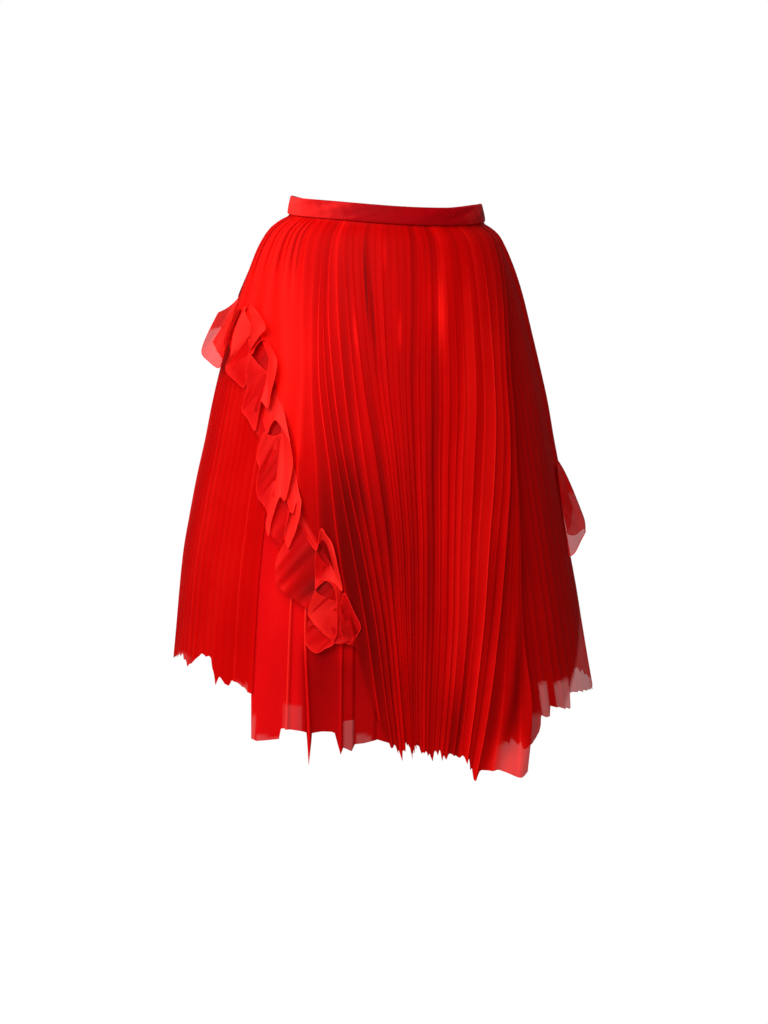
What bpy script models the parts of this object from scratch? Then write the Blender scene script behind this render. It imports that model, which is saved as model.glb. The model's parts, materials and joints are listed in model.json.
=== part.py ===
"""Pleated sheer wrap skirt, worn shape with no wearer inside.

Metres, +Z up, front of the skirt toward -Y, origin at the middle of the
waistband. An angle of 0 is the centre front and grows toward +X; a drop is
the distance below the origin. Every piece of cloth is a thin closed wall laid
on one form, which is given by the tables below.
"""
import math

import bpy
import numpy as np

# ---- waistband ----
BAND_HALF_WIDTH = 0.1270
BAND_HALF_DEPTH = 0.0950
BAND_HALF_HEIGHT = 0.0110
BAND_WALL = 0.0030
BAND_CROWN = 0.0003
BAND_TAPER = 0.0045
BAND_START_DEG = 112.0
BAND_LAP_DEG = 15.0
BAND_RAMP_DEG = 16.0
BAND_COLUMNS = 54

# ---- how the waist hangs ----
SIDE_TILT = 0.0050
BACK_DIP = 0.0205
FRONT_LIFT = 0.0020
CREST_LIFT = 0.0034      # a soft crest in the rim, left of the centre front
CREST_DEG = -30.0
CREST_SHARPNESS = 4.0
TILT_FULL_DROP = 0.0135
TILT_GONE_DROP = 0.1200

# ---- walls and seams ----
SEAM_GAP = 0.0004
LINING_WALL = 0.0011
UNDER_WALL = 0.0011
OVER_WALL = 0.0012
RUFFLE_WALL = 0.0011
TUCK_DROP = 0.0060
OVER_TOP_DROP = BAND_HALF_HEIGHT + SEAM_GAP

# ---- pleats and waves ----
BACK_PLEATS = 38
RIDGE_SHARE = 0.36
BACK_SEAM_DEG = -92.0
BACK_END_DEG = 84.0
UNDER_START_DEG = 12.0
RUFFLE_FRONT_WAVES = 8
RUFFLE_BACK_WAVES = 14
HEM_ZIGZAG = 0.0060

# Outer skin of the lining: half sizes of each level section.
# drop, left, right, front, back
FORM = (
    (0.0050, 0.1190, 0.1190, 0.0870, 0.0870),
    (0.0135, 0.1212, 0.1212, 0.0892, 0.0893),
    (0.0200, 0.1300, 0.1304, 0.0958, 0.0970),
    (0.0300, 0.1421, 0.1398, 0.1030, 0.1060),
    (0.0450, 0.1526, 0.1468, 0.1105, 0.1160),
    (0.0600, 0.1603, 0.1524, 0.1165, 0.1250),
    (0.0800, 0.1689, 0.1590, 0.1225, 0.1350),
    (0.1100, 0.1815, 0.1672, 0.1305, 0.1475),
    (0.1500, 0.1945, 0.1766, 0.1385, 0.1580),
    (0.2000, 0.2090, 0.1882, 0.1480, 0.1670),
    (0.2500, 0.2207, 0.1988, 0.1550, 0.1720),
    (0.3000, 0.2306, 0.2070, 0.1620, 0.1765),
    (0.3500, 0.2418, 0.2165, 0.1680, 0.1810),
    (0.4000, 0.2514, 0.2255, 0.1725, 0.1848),
    (0.4500, 0.2601, 0.2345, 0.1760, 0.1880),
    (0.5000, 0.2655, 0.2437, 0.1795, 0.1915),
    (0.5500, 0.2700, 0.2518, 0.1825, 0.1950),
    (0.6000, 0.2749, 0.2603, 0.1850, 0.1985),
    (0.6600, 0.2810, 0.2712, 0.1878, 0.2030),
    (0.7300, 0.2878, 0.2838, 0.1905, 0.2078),
)

# How far the layers stand off one another and how deep their pleats are.
# drop, under gap, under depth, over gap, over depth
LAYERS = (
    (0.0050, 0.0004, 0.0008, 0.0004, 0.0008),
    (0.0135, 0.0004, 0.0008, 0.0004, 0.0008),
    (0.0300, 0.0005, 0.0014, 0.0006, 0.0018),
    (0.0600, 0.0007, 0.0020, 0.0010, 0.0026),
    (0.1200, 0.0012, 0.0028, 0.0014, 0.0032),
    (0.2000, 0.0020, 0.0035, 0.0010, 0.0036),
    (0.3000, 0.0030, 0.0040, 0.0012, 0.0042),
    (0.4500, 0.0040, 0.0045, 0.0018, 0.0044),
    (0.6000, 0.0050, 0.0050, 0.0018, 0.0046),
    (0.7300, 0.0055, 0.0052, 0.0018, 0.0048),
)

# Angles of the pleat lines of the front wrap panel, in degrees.
# drop, then the line with each pleat number of FRONT_LINES
FRONT_LINES = (-6.0, 0.0, 2.0, 4.0, 6.0, 8.0, 15.0, 23.0, 26.0, 28.0, 30.0)
FRONT_PHI = (
    (0.0125, -92.0, -44.5, -32.5, -28.0, -22.5, -16.0, 10.5, 38.8, 53.0, 70.0, 78.0),
    (0.1000, -92.0, -37.0, -27.2, -23.3, -16.0, -11.0, 8.8, 34.2, 47.0, 57.8, 61.5),
    (0.2000, -90.0, -30.8, -22.8, -17.8, -11.1, -6.2, 7.4, 31.0, 42.5, 49.5, 53.0),
    (0.3000, -86.0, -29.5, -17.5, -12.4, -6.9, -1.5, 8.0, 27.0, 37.8, 45.4, 49.0),
    (0.4000, -82.0, -28.0, -13.6, -6.8, -2.8, 1.5, 8.6, 23.8, 32.3, 39.0, 45.6),
    (0.5000, -78.0, -26.0, -9.6, -2.8, 0.5, 3.0, 8.2, 21.5, 28.0, 33.5, 42.4),
    (0.6000, -74.0, -24.0, -6.4, -0.2, 2.5, 4.5, 7.8, 18.5, 23.8, 29.0, 41.5),
    (0.7000, -70.0, -22.0, -2.6, 2.8, 4.4, 5.8, 8.0, 15.0, 19.8, 24.2, 38.0),
)

# Lower left edge of the front wrap panel, from the side seam to the hem.
# drop, angle in degrees
FRONT_SEAM = (
    (0.1130, -92.0),
    (0.1200, -78.0),
    (0.1300, -63.0),
    (0.1474, -51.5),
    (0.1720, -45.0),
    (0.1995, -40.0),
    (0.2529, -33.2),
    (0.3196, -27.8),
    (0.3621, -24.0),
    (0.4043, -17.2),
    (0.4535, -11.8),
    (0.4976, -9.0),
    (0.5421, -7.0),
    (0.6000, -3.2),
    (0.6534, 1.0),
)
RUFFLE_FRONT_END_DROP = 0.5421

# Hem of the front wrap panel.
# pleat number, drop
FRONT_HEM = (
    (2.0, 0.652),
    (4.0, 0.659),
    (6.0, 0.664),
    (8.0, 0.661),
    (11.0, 0.664),
    (15.0, 0.661),
    (19.0, 0.668),
    (21.0, 0.664),
    (23.0, 0.672),
    (26.0, 0.681),
    (28.0, 0.690),
    (28.8, 0.694),
    (29.3, 0.690),
    (29.7, 0.706),
    (30.0, 0.704),
)

# Hem of the pleated under skirt.
# angle in degrees, drop
UNDER_HEM = (
    (12.0, 0.642),
    (38.0, 0.654),
    (44.0, 0.654),
    (47.0, 0.645),
    (60.0, 0.636),
    (75.0, 0.629),
    (90.0, 0.633),
    (120.0, 0.640),
    (150.0, 0.640),
    (180.0, 0.632),
    (210.0, 0.622),
    (240.0, 0.610),
    (268.0, 0.600),
    (288.0, 0.583),
    (300.0, 0.572),
    (306.0, 0.576),
    (309.0, 0.597),
    (321.9, 0.595),
)

# Hem of the lining.
# angle in degrees, drop
LINING_HEM = (
    (-180.0, 0.575),
    (-92.0, 0.552),
    (-45.0, 0.548),
    (-27.0, 0.600),
    (-15.0, 0.620),
    (15.0, 0.618),
    (46.0, 0.594),
    (60.0, 0.601),
    (92.0, 0.595),
    (180.0, 0.575),
)

# The smooth under panel at the lower left of the front, one row per column.
# angle in degrees, hem drop, share of the fold depth
UNDERLAP = (
    (-38.0, 0.6600, 0.30),
    (-35.5, 0.6640, 0.05),
    (-31.5, 0.6560, 0.35),
    (-27.8, 0.6530, 1.00),
    (-26.6, 0.6420, 0.25),
    (-22.5, 0.6425, 0.10),
    (-20.4, 0.6435, 0.55),
    (-19.5, 0.6850, 1.00),
    (-18.6, 0.6430, 0.40),
    (-14.5, 0.6410, 0.10),
    (-11.8, 0.6670, 0.85),
    (-10.6, 0.6560, 0.30),
    (-8.8, 0.6630, 0.80),
    (-7.4, 0.6520, 0.20),
    (-3.5, 0.6480, 0.60),
    (0.5, 0.6500, 0.15),
    (4.5, 0.6520, 0.60),
    (8.3, 0.6530, 0.15),
    (11.8, 0.6540, 0.40),
)

# Lower edge of the back overlay, which the back ruffle follows.
# angle in degrees, drop
BACK_EDGE = (
    (84.0, 0.338),
    (120.0, 0.305),
    (150.0, 0.262),
    (180.0, 0.222),
    (210.0, 0.182),
    (240.0, 0.146),
    (268.0, 0.113),
)

# Where the free edge of each ruffle lies beside its seam.
# share of the length, angle step, drop step, lift at the free edge
RUFFLE_FRONT = (
    (0.000, 0.0, 0.064, 0.006),
    (0.150, -4.0, 0.068, 0.006),
    (0.300, -9.5, 0.066, 0.005),
    (0.420, -9.5, 0.060, 0.005),
    (0.550, -12.0, 0.040, 0.005),
    (0.700, -13.5, 0.026, 0.005),
    (0.850, -14.5, 0.014, 0.005),
    (1.000, -12.5, 0.004, 0.005),
)
RUFFLE_BACK = (
    (0.000, 1.5, 0.104, 0.002),
    (0.050, 1.5, 0.104, 0.006),
    (0.150, 1.0, 0.096, 0.006),
    (0.500, 1.0, 0.080, 0.006),
    (1.000, 0.0, 0.064, 0.006),
)
RUFFLE_FRONT_OUT = 0.0220
RUFFLE_BACK_OUT = 0.0200
RUFFLE_SLIDE = 0.0045
RUFFLE_PHASE = 0.30
RUFFLE_GAP = 0.0008

# Rows of each kind of panel: drops near the top, then shares of the way from
# the last of them to the hem.
INNER_TOP = (TUCK_DROP, 0.0135, 0.0300, 0.0550, 0.1000, 0.1800, 0.3200, 0.4600)
OUTER_TOP = (OVER_TOP_DROP, 0.0200, 0.0300, 0.0550)
INNER_LEVELS = (1.0,)
FRONT_LEVELS = (0.08, 0.21, 0.34, 0.50, 0.68, 0.86, 1.0)
BACK_LEVELS = (0.14, 0.35, 0.65, 1.0)
RUFFLE_LEVELS = (0.0, 0.22, 0.58, 1.0)

# ---- colours, as sRGB hex ----
COLORS = {
    "satin_band": "b80a10",
    "lining_cloth": "a80808",
    "under_cloth": "cc1414",
    "underlap_cloth": "d42a24",
    "front_cloth": "e00c0a",
    "overlay_cloth": "d01010",
    "ruffle_cloth": "f02018",
}


def column(table, index):
    """One column of a table as an array."""
    return np.array([row[index] for row in table], dtype=float)


def smooth(xs, ys, at):
    """Monotone cubic curve through the points xs, ys, read at `at`."""
    xs = np.asarray(xs, dtype=float)
    ys = np.asarray(ys, dtype=float)
    at = np.clip(np.asarray(at, dtype=float), xs[0], xs[-1])
    step = np.diff(xs)
    rise = np.diff(ys) / step
    slope = np.empty_like(ys)
    slope[0] = rise[0]
    slope[-1] = rise[-1]
    left = rise[:-1]
    right = rise[1:]
    same = left * right > 0.0
    total = np.where(same, left + right, 1.0)
    slope[1:-1] = np.where(same, 2.0 * left * right / total, 0.0)
    i = np.clip(np.searchsorted(xs, at, side="right") - 1, 0, len(step) - 1)
    u = (at - xs[i]) / step[i]
    a = ys[i] * (1.0 + 2.0 * u) * (1.0 - u) ** 2
    b = ys[i + 1] * u * u * (3.0 - 2.0 * u)
    c = slope[i] * step[i] * u * (1.0 - u) ** 2
    d = slope[i + 1] * step[i] * u * u * (u - 1.0)
    return a + b + c + d


def ease(value):
    """Smooth step from 0 to 1."""
    value = np.clip(value, 0.0, 1.0)
    return value * value * (3.0 - 2.0 * value)


def read(table, index, at):
    """A table's column read as a smooth function of its first column."""
    return smooth(column(table, 0), column(table, index), at)


def rise_of_waist(phi, drop):
    """How much higher than its drop a point lies, since the waist tilts."""
    side = -SIDE_TILT * np.sin(phi)
    back = -BACK_DIP * np.maximum(0.0, -np.cos(phi)) ** 1.5
    front = FRONT_LIFT * (0.5 + 0.5 * np.cos(phi))
    away = np.cos(phi - math.radians(CREST_DEG)) - 1.0
    crest = CREST_LIFT * np.exp(CREST_SHARPNESS * away)
    fade = (drop - TILT_FULL_DROP) / (TILT_GONE_DROP - TILT_FULL_DROP)
    return (side + back + front + crest) * (1.0 - ease(fade))


def section_point(phi, half_x, half_y, out):
    """Point of an ellipse at the angle phi, moved out along its normal."""
    x = half_x * np.sin(phi)
    y = -half_y * np.cos(phi)
    nx = half_y * np.sin(phi)
    ny = -half_x * np.cos(phi)
    size = np.hypot(nx, ny)
    return x + out * nx / size, y + out * ny / size


def form_point(phi, drop, out):
    """Point at an angle and a drop, at a distance outside the lining."""
    phi, drop, out = np.broadcast_arrays(phi, drop, out)
    half_x = np.where(np.sin(phi) < 0.0, read(FORM, 1, drop), read(FORM, 2, drop))
    half_y = np.where(np.cos(phi) > 0.0, read(FORM, 3, drop), read(FORM, 4, drop))
    x, y = section_point(phi, half_x, half_y, out)
    z = rise_of_waist(phi, drop) - drop
    return np.stack([x, y, z], axis=-1)


def under_inner(drop):
    """Inner skin of the under skirt in its valleys."""
    return read(LAYERS, 1, drop)


def under_outer(drop):
    """Outer skin of the under skirt on its ridges."""
    return under_inner(drop) + read(LAYERS, 2, drop) + UNDER_WALL


def over_inner(drop):
    """Inner skin of the outer panels in their valleys."""
    return under_outer(drop) + read(LAYERS, 3, drop)


def wall_faces(rows, cols, start, flip):
    """Triangles of one skin of a wall."""
    faces = []
    for r in range(rows - 1):
        for c in range(cols - 1):
            a = start + r * cols + c
            b = a + cols
            if flip:
                faces.append((a, b + 1, b))
                faces.append((a, a + 1, b + 1))
            else:
                faces.append((a, b, b + 1))
                faces.append((a, b + 1, a + 1))
    return faces


def rim_faces(rows, cols):
    """Triangles that close the four edges between the two skins."""
    top = [c for c in range(cols)]
    right = [r * cols + cols - 1 for r in range(1, rows)]
    bottom = [(rows - 1) * cols + c for c in range(cols - 2, -1, -1)]
    left = [r * cols for r in range(rows - 2, 0, -1)]
    loop = top + right + bottom + left
    shift = rows * cols
    faces = []
    for i in range(len(loop)):
        a = loop[i]
        b = loop[(i + 1) % len(loop)]
        faces.append((a, b + shift, b))
        faces.append((a, a + shift, b + shift))
    return faces


def cloth_material(slot):
    """Plain cloth in its own colour, for one kind of piece."""
    material = bpy.data.materials.get(slot)
    if material is not None:
        return material
    material = bpy.data.materials.new(slot)
    material.use_nodes = True
    shader = material.node_tree.nodes["Principled BSDF"]
    code = COLORS[slot]
    rgb = []
    for i in (0, 2, 4):
        value = int(code[i:i + 2], 16) / 255.0
        if value <= 0.04045:
            rgb.append(value / 12.92)
        else:
            rgb.append(((value + 0.055) / 1.055) ** 2.4)
    shader.inputs["Base Color"].default_value = (rgb[0], rgb[1], rgb[2], 1.0)
    shader.inputs["Roughness"].default_value = 0.6
    material.diffuse_color = (rgb[0], rgb[1], rgb[2], 1.0)
    return material


def add_solid(name, points, faces, slot):
    """One named solid from points and outward triangles."""
    points = np.asarray(points, dtype=float)
    tri = np.asarray(faces, dtype=int)
    p = points[tri]
    volume = np.einsum("ij,ij->i", p[:, 0], np.cross(p[:, 1], p[:, 2])).sum() / 6.0
    if volume < 0.0:
        tri = tri[:, ::-1]
    mesh = bpy.data.meshes.new(name)
    mesh.from_pydata(points.tolist(), [], tri.tolist())
    mesh.update()
    mesh.materials.append(cloth_material(slot))
    item = bpy.data.objects.new(name, mesh)
    bpy.context.scene.collection.objects.link(item)
    return item


def add_wall(name, inner, outer, slot):
    """A closed wall between two grids of points, rows by columns."""
    rows, cols = inner.shape[:2]
    points = np.concatenate([inner.reshape(-1, 3), outer.reshape(-1, 3)])
    faces = wall_faces(rows, cols, 0, True)
    faces += wall_faces(rows, cols, rows * cols, False)
    faces += rim_faces(rows, cols)
    return add_solid(name, points, faces, slot)


def drops_between(top, hem, levels):
    """Drops of a grid: one row per level, one column per hem point."""
    hem = np.asarray(hem)[None, :]
    upper = np.broadcast_to(np.array(top)[:, None], (len(top), hem.shape[1]))
    lower = top[-1] + (hem - top[-1]) * np.array(levels)[:, None]
    return np.concatenate([upper, lower])


def pleat_share(count, phase):
    """Pleat numbers of the columns, and 0 in a valley or 1 on a ridge."""
    numbers = []
    shares = []
    for i in range(count):
        numbers += [float(i), i + phase]
        shares += [0.0, 1.0]
    numbers.append(float(count))
    shares.append(0.0)
    return np.array(numbers), np.array(shares)


def even_angles(start_deg, end_deg, count, drop):
    """Angles that cut the section at one drop into equal lengths."""
    fine = np.radians(np.linspace(start_deg, end_deg, 2001))
    p = form_point(fine, drop, 0.0)
    run = np.hypot(np.diff(p[:, 0]), np.diff(p[:, 1]))
    run = np.concatenate([[0.0], np.cumsum(run)])

    def at(number):
        return np.interp(np.asarray(number) / count * run[-1], run, fine)

    return at


def build_waistband():
    """The band: one strip that laps over its own start at the side back."""
    total = 360.0 + BAND_LAP_DEG
    turn = np.linspace(0.0, total, BAND_COLUMNS + 1)
    phi = np.radians(BAND_START_DEG + turn)
    ramp = (turn - (360.0 - BAND_RAMP_DEG)) / BAND_RAMP_DEG
    lap = (BAND_WALL + SEAM_GAP + BAND_CROWN) * ease(ramp)
    h = BAND_HALF_HEIGHT
    profile = (
        (-BAND_WALL, -h + 0.0004),
        (-BAND_WALL + 0.0005, -h),
        (-0.0007, -h),
        (0.0, -h + 0.0007),
        (BAND_CROWN, 0.0),
        (0.0, h - 0.0007),
        (-0.0007, h),
        (-BAND_WALL + 0.0005, h),
        (-BAND_WALL, h - 0.0004),
    )
    rings = []
    for out, drop in profile:
        out = out + lap - BAND_TAPER * 0.5 * (1.0 - drop / h)
        x, y = section_point(phi, BAND_HALF_WIDTH, BAND_HALF_DEPTH, out)
        z = rise_of_waist(phi, 0.0) - drop
        rings.append(np.stack([x, y, z], axis=-1))
    grid = np.stack(rings, axis=1)
    cols, ring = grid.shape[:2]
    faces = []
    for c in range(cols - 1):
        for r in range(ring):
            a = c * ring + r
            b = c * ring + (r + 1) % ring
            faces.append((a, b, b + ring))
            faces.append((a, b + ring, a + ring))
    last = (cols - 1) * ring
    for r in range(1, ring - 1):
        faces.append((0, r + 1, r))
        faces.append((last, last + r, last + r + 1))
    return add_solid("waistband", grid.reshape(-1, 3), faces, "satin_band")


def build_lining(name, start_deg, end_deg, columns):
    """One half of the slip that lies inside, smooth and flared."""
    at = even_angles(start_deg, end_deg, columns, 0.35)
    phi = at(np.arange(columns + 1))
    deg = (np.degrees(phi) + 180.0) % 360.0 - 180.0
    hem = read(LINING_HEM, 1, deg)
    drop = drops_between(INNER_TOP, hem, INNER_LEVELS)
    inner = form_point(phi[None, :], drop, -LINING_WALL)
    outer = form_point(phi[None, :], drop, 0.0)
    return add_wall(name, inner, outer, "lining_cloth")


def build_under_gore(name, start_deg, end_deg, pleats):
    """One pleated gore of the under skirt, zigzag at its hem."""
    at = even_angles(start_deg, end_deg, pleats, 0.35)
    number, share = pleat_share(pleats, RIDGE_SHARE)
    phi = at(number)
    uneven = 0.6 + 0.4 * np.sin(number * 2.3 + start_deg)
    hem = read(UNDER_HEM, 1, np.degrees(phi))
    hem = hem + HEM_ZIGZAG * uneven * (2.0 * share - 1.0)
    drop = drops_between(INNER_TOP, hem, INNER_LEVELS)
    out = under_inner(drop) + read(LAYERS, 2, drop) * share[None, :]
    inner = form_point(phi[None, :], drop, out)
    outer = form_point(phi[None, :], drop, out + UNDER_WALL)
    return add_wall(name, inner, outer, "under_cloth")


def build_underlap():
    """The smooth under panel, with a few folds and one thin hanging pleat."""
    phi = np.radians(column(UNDERLAP, 0))
    hem = column(UNDERLAP, 1)
    share = column(UNDERLAP, 2)
    drop = drops_between(INNER_TOP, hem, INNER_LEVELS)
    out = under_inner(drop) + read(LAYERS, 2, drop) * share[None, :]
    inner = form_point(phi[None, :], drop, out)
    outer = form_point(phi[None, :], drop, out + UNDER_WALL)
    return add_wall("underlap_panel", inner, outer, "underlap_cloth")


def front_angle(number, drop):
    """Angle of a front pleat line at a drop, in radians."""
    number, drop = np.broadcast_arrays(number, drop)
    lines = [read(FRONT_PHI, i + 1, drop) for i in range(len(FRONT_LINES))]
    lines = np.stack(lines, axis=-1)
    flat = lines.reshape(-1, len(FRONT_LINES))
    picks = number.reshape(-1)
    angle = [smooth(FRONT_LINES, flat[i], picks[i]) for i in range(len(picks))]
    return np.radians(np.array(angle, dtype=float).reshape(number.shape))


def front_end_drop(number):
    """Drop at which a front pleat line ends, at the seam or at the hem."""
    hem = float(read(FRONT_HEM, 1, number))
    seam_drop = column(FRONT_SEAM, 0)
    seam_deg = column(FRONT_SEAM, 1)
    drops = np.linspace(seam_drop[0], seam_drop[-1], 400)
    line = np.degrees(front_angle(number, drops))
    over = line - smooth(seam_drop, seam_deg, drops)
    cut = np.nonzero(over <= 0.0)[0]
    if len(cut) == 0:
        return hem
    i = cut[0]
    if i == 0:
        return float(drops[0])
    share = over[i - 1] / (over[i - 1] - over[i])
    return min(hem, float(drops[i - 1] + share * (drops[i] - drops[i - 1])))


def front_columns():
    """Pleat number, fold share and end drop of each front column."""
    number, share = pleat_share(30, RIDGE_SHARE)
    hip_number = np.arange(-6.0, 0.0, 0.5)
    hip_share = np.tile([0.15, 0.55], 6)
    hip_share[0] = 0.0
    number = np.concatenate([hip_number, number])
    share = np.concatenate([hip_share, share])
    ends = np.array([front_end_drop(k) for k in number])
    zig = HEM_ZIGZAG * 0.6 * (2.0 * share - 1.0)
    return number, share, np.where(number > 4.5, ends + zig, ends)


def front_grid():
    """Drops, angles and distances of the front wrap panel's inner skin."""
    number, share, ends = front_columns()
    drop = drops_between(OUTER_TOP, ends, FRONT_LEVELS)
    phi = front_angle(np.broadcast_to(number, drop.shape), drop)
    out = over_inner(drop) + read(LAYERS, 4, drop) * share[None, :]
    return drop, phi, out


def build_front_panel():
    """The outer wrap panel: finely pleated, cut on the slant at its left."""
    drop, phi, out = front_grid()
    inner = form_point(phi, drop, out)
    outer = form_point(phi, drop, out + OVER_WALL)
    return add_wall("front_wrap_panel", inner, outer, "front_cloth")


def back_grid():
    """Drops, angles and distances of the back overlay's inner skin."""
    end_deg = 360.0 + BACK_SEAM_DEG - 0.2
    at = even_angles(BACK_END_DEG, end_deg, BACK_PLEATS, 0.2)
    number, share = pleat_share(BACK_PLEATS, RIDGE_SHARE)
    phi = at(number)
    hem = read(BACK_EDGE, 1, np.degrees(phi))
    drop = drops_between(OUTER_TOP, hem, BACK_LEVELS)
    phi = np.broadcast_to(phi, drop.shape)
    out = over_inner(drop) + read(LAYERS, 4, drop) * share[None, :]
    return drop, phi, out


def build_back_overlay():
    """The outer panel round the back, which runs down to the right side."""
    drop, phi, out = back_grid()
    inner = form_point(phi, drop, out)
    outer = form_point(phi, drop, out + OVER_WALL)
    return add_wall("back_overlay_panel", inner, outer, "overlay_cloth")


def edge_of_grid(grid, first, last, splits):
    """Drops, angles and distances along a panel's lower edge, cut finer."""
    drop, phi, out = [part[-1, first:last + 1] for part in grid]
    at = [0.0]
    for i in range(last - first):
        for s in range(1, splits[i] + 1):
            at.append(i + s / splits[i])
    base = np.arange(last - first + 1)
    picked = []
    for part in (drop, phi, out):
        picked.append(np.interp(at, base, part))
    return picked[0], picked[1], picked[2]


def grid_normals(points):
    """Unit normals of a grid of points, rows by columns."""
    down = np.gradient(points, axis=0)
    across = np.gradient(points, axis=1)
    normal = np.cross(down, across)
    size = np.linalg.norm(normal, axis=-1, keepdims=True)
    return normal / np.maximum(size, 1e-9)


def build_ruffle(name, edge, table, waves, reach):
    """A gathered strip along a panel's edge, fluted toward its free edge."""
    drop, phi, out = edge
    first = form_point(phi, drop, out + 0.5 * OVER_WALL)
    run = np.linalg.norm(np.diff(first, axis=0), axis=1)
    share = np.concatenate([[0.0], np.cumsum(run)])
    share = share / share[-1]
    turn = np.radians(read(table, 1, share))
    fall = read(table, 2, share)
    lift = read(table, 3, share)
    wave = 2.0 * math.pi * (waves * share + RUFFLE_PHASE)
    rows = []
    for level in RUFFLE_LEVELS:
        d = drop + fall * level
        p = phi + turn * level
        base = (1.0 - level) * (out + 0.5 * OVER_WALL)
        base = base + level * (under_outer(d) + lift)
        swell = reach * level ** 0.7 * (0.5 - 0.5 * np.cos(wave))
        d = d + 0.010 * level * np.cos(wave)
        rows.append(form_point(p, d, base + swell))
    grid = np.stack(rows)
    along = np.gradient(grid, axis=1)
    along = along / np.linalg.norm(along, axis=-1, keepdims=True)
    level = np.array(RUFFLE_LEVELS)[:, None, None]
    slide = RUFFLE_SLIDE * np.sin(2.0 * wave)[None, :, None]
    grid = grid + along * slide * level
    toward = grid[1] - grid[0]
    toward = toward / np.linalg.norm(toward, axis=-1, keepdims=True)
    grid[0] = grid[0] + toward * RUFFLE_GAP
    normal = grid_normals(grid)
    half = 0.5 * RUFFLE_WALL
    return add_wall(name, grid - normal * half, grid + normal * half, "ruffle_cloth")


def build_front_ruffle():
    """The ruffle down the slanted edge of the front panel."""
    grid = front_grid()
    ends = grid[0][-1]
    number = front_columns()[0]
    keep = (ends <= RUFFLE_FRONT_END_DROP) & (number < 4.0)
    last = int(np.nonzero(keep)[0][-1])
    splits = [4] * last
    return build_ruffle("front_ruffle", edge_of_grid(grid, 0, last, splits),
                        RUFFLE_FRONT, RUFFLE_FRONT_WAVES, RUFFLE_FRONT_OUT)


def build_back_ruffle():
    """The ruffle that carries on round the back and ends at the right side."""
    grid = back_grid()
    last = grid[0].shape[1] - 1
    return build_ruffle("back_ruffle", edge_of_grid(grid, 0, last, [1] * last),
                        RUFFLE_BACK, RUFFLE_BACK_WAVES, RUFFLE_BACK_OUT)


def clear_scene():
    """Remove whatever the scene holds at the start."""
    for item in list(bpy.data.objects):
        bpy.data.objects.remove(item, do_unlink=True)


def build():
    """Every piece of the skirt."""
    clear_scene()
    build_waistband()
    build_lining("lining_front", -91.9, 91.9, 20)
    build_lining("lining_back", 92.1, 267.9, 20)
    build_under_gore("under_gore_right", UNDER_START_DEG, 88.0, 19)
    build_under_gore("under_gore_back_right", 88.2, 177.0, 21)
    build_under_gore("under_gore_back_left", 177.2, 268.0, 24)
    build_under_gore("under_gore_left", 268.2, 321.8, 16)
    build_underlap()
    build_front_panel()
    build_back_overlay()
    build_front_ruffle()
    build_back_ruffle()


build()
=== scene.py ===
"""Looks of the pleated sheer wrap skirt, worn shape with no wearer inside.

Metres, +Z up, the front toward -Y, origin at the middle of the waistband. An
angle of 0 is the centre front and grows toward +X; a drop is the distance
below the origin. Every cloth is laid on one form, given by the tables below.
"""
import json
import math

import bpy
import numpy as np
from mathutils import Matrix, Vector

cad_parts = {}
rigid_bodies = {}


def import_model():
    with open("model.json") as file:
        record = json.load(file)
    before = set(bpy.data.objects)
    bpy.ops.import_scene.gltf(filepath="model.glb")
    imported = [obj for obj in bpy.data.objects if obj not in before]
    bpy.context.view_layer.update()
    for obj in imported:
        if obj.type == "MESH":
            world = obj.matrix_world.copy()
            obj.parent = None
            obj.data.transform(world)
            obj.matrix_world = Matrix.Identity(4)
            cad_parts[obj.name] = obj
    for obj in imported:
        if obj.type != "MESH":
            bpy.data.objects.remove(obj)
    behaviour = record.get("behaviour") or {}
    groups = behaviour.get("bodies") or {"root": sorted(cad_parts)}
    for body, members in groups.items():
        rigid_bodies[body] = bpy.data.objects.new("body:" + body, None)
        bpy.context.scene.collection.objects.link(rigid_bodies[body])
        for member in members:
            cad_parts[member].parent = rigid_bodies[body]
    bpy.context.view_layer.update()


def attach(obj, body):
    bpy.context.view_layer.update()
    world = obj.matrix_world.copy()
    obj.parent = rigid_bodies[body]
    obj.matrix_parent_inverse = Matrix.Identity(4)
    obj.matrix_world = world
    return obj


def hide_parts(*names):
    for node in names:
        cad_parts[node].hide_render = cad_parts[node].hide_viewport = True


for item in list(bpy.data.objects):
    bpy.data.objects.remove(item, do_unlink=True)
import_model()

# ---- camera ----
EYE = (-0.003, -3.0, 0.3384)
PITCH_DEG = 13.813
LENS_MM = 82.195
FULL_SIZE = 2.9225       # how far off a thing shows 0.8 pixel for each mm

# ---- waistband ----
BAND_HALF_WIDTH = 0.1270
BAND_HALF_DEPTH = 0.0950
BAND_HALF_HEIGHT = 0.0110
BAND_WALL = 0.0030
BAND_TAPER = 0.0045
BAND_START_DEG = 112.0
BAND_LAP_DEG = 15.0
BAND_RAMP_DEG = 16.0
BAND_LAP_AIR = 0.0003
BAND_EDGE_ROUND = 0.0009
BAND_EDGE_FROM = 0.9     # share of the half height past which an edge turns over
BAND_RELIEF = 0.0003     # how much the crown stands out and the stitch line in
DRAG_DEG = 57.3          # degrees of turn in one unit of the drag lines' waves

# ---- how the waist hangs ----
SIDE_TILT = 0.0050
BACK_DIP = 0.0205
FRONT_LIFT = 0.0020
CREST_LIFT = 0.0034      # a soft crest in the rim, left of the centre front
CREST_DEG = -30.0
CREST_SHARPNESS = 4.0
TILT_FULL_DROP = 0.0135
TILT_GONE_DROP = 0.1200

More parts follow.
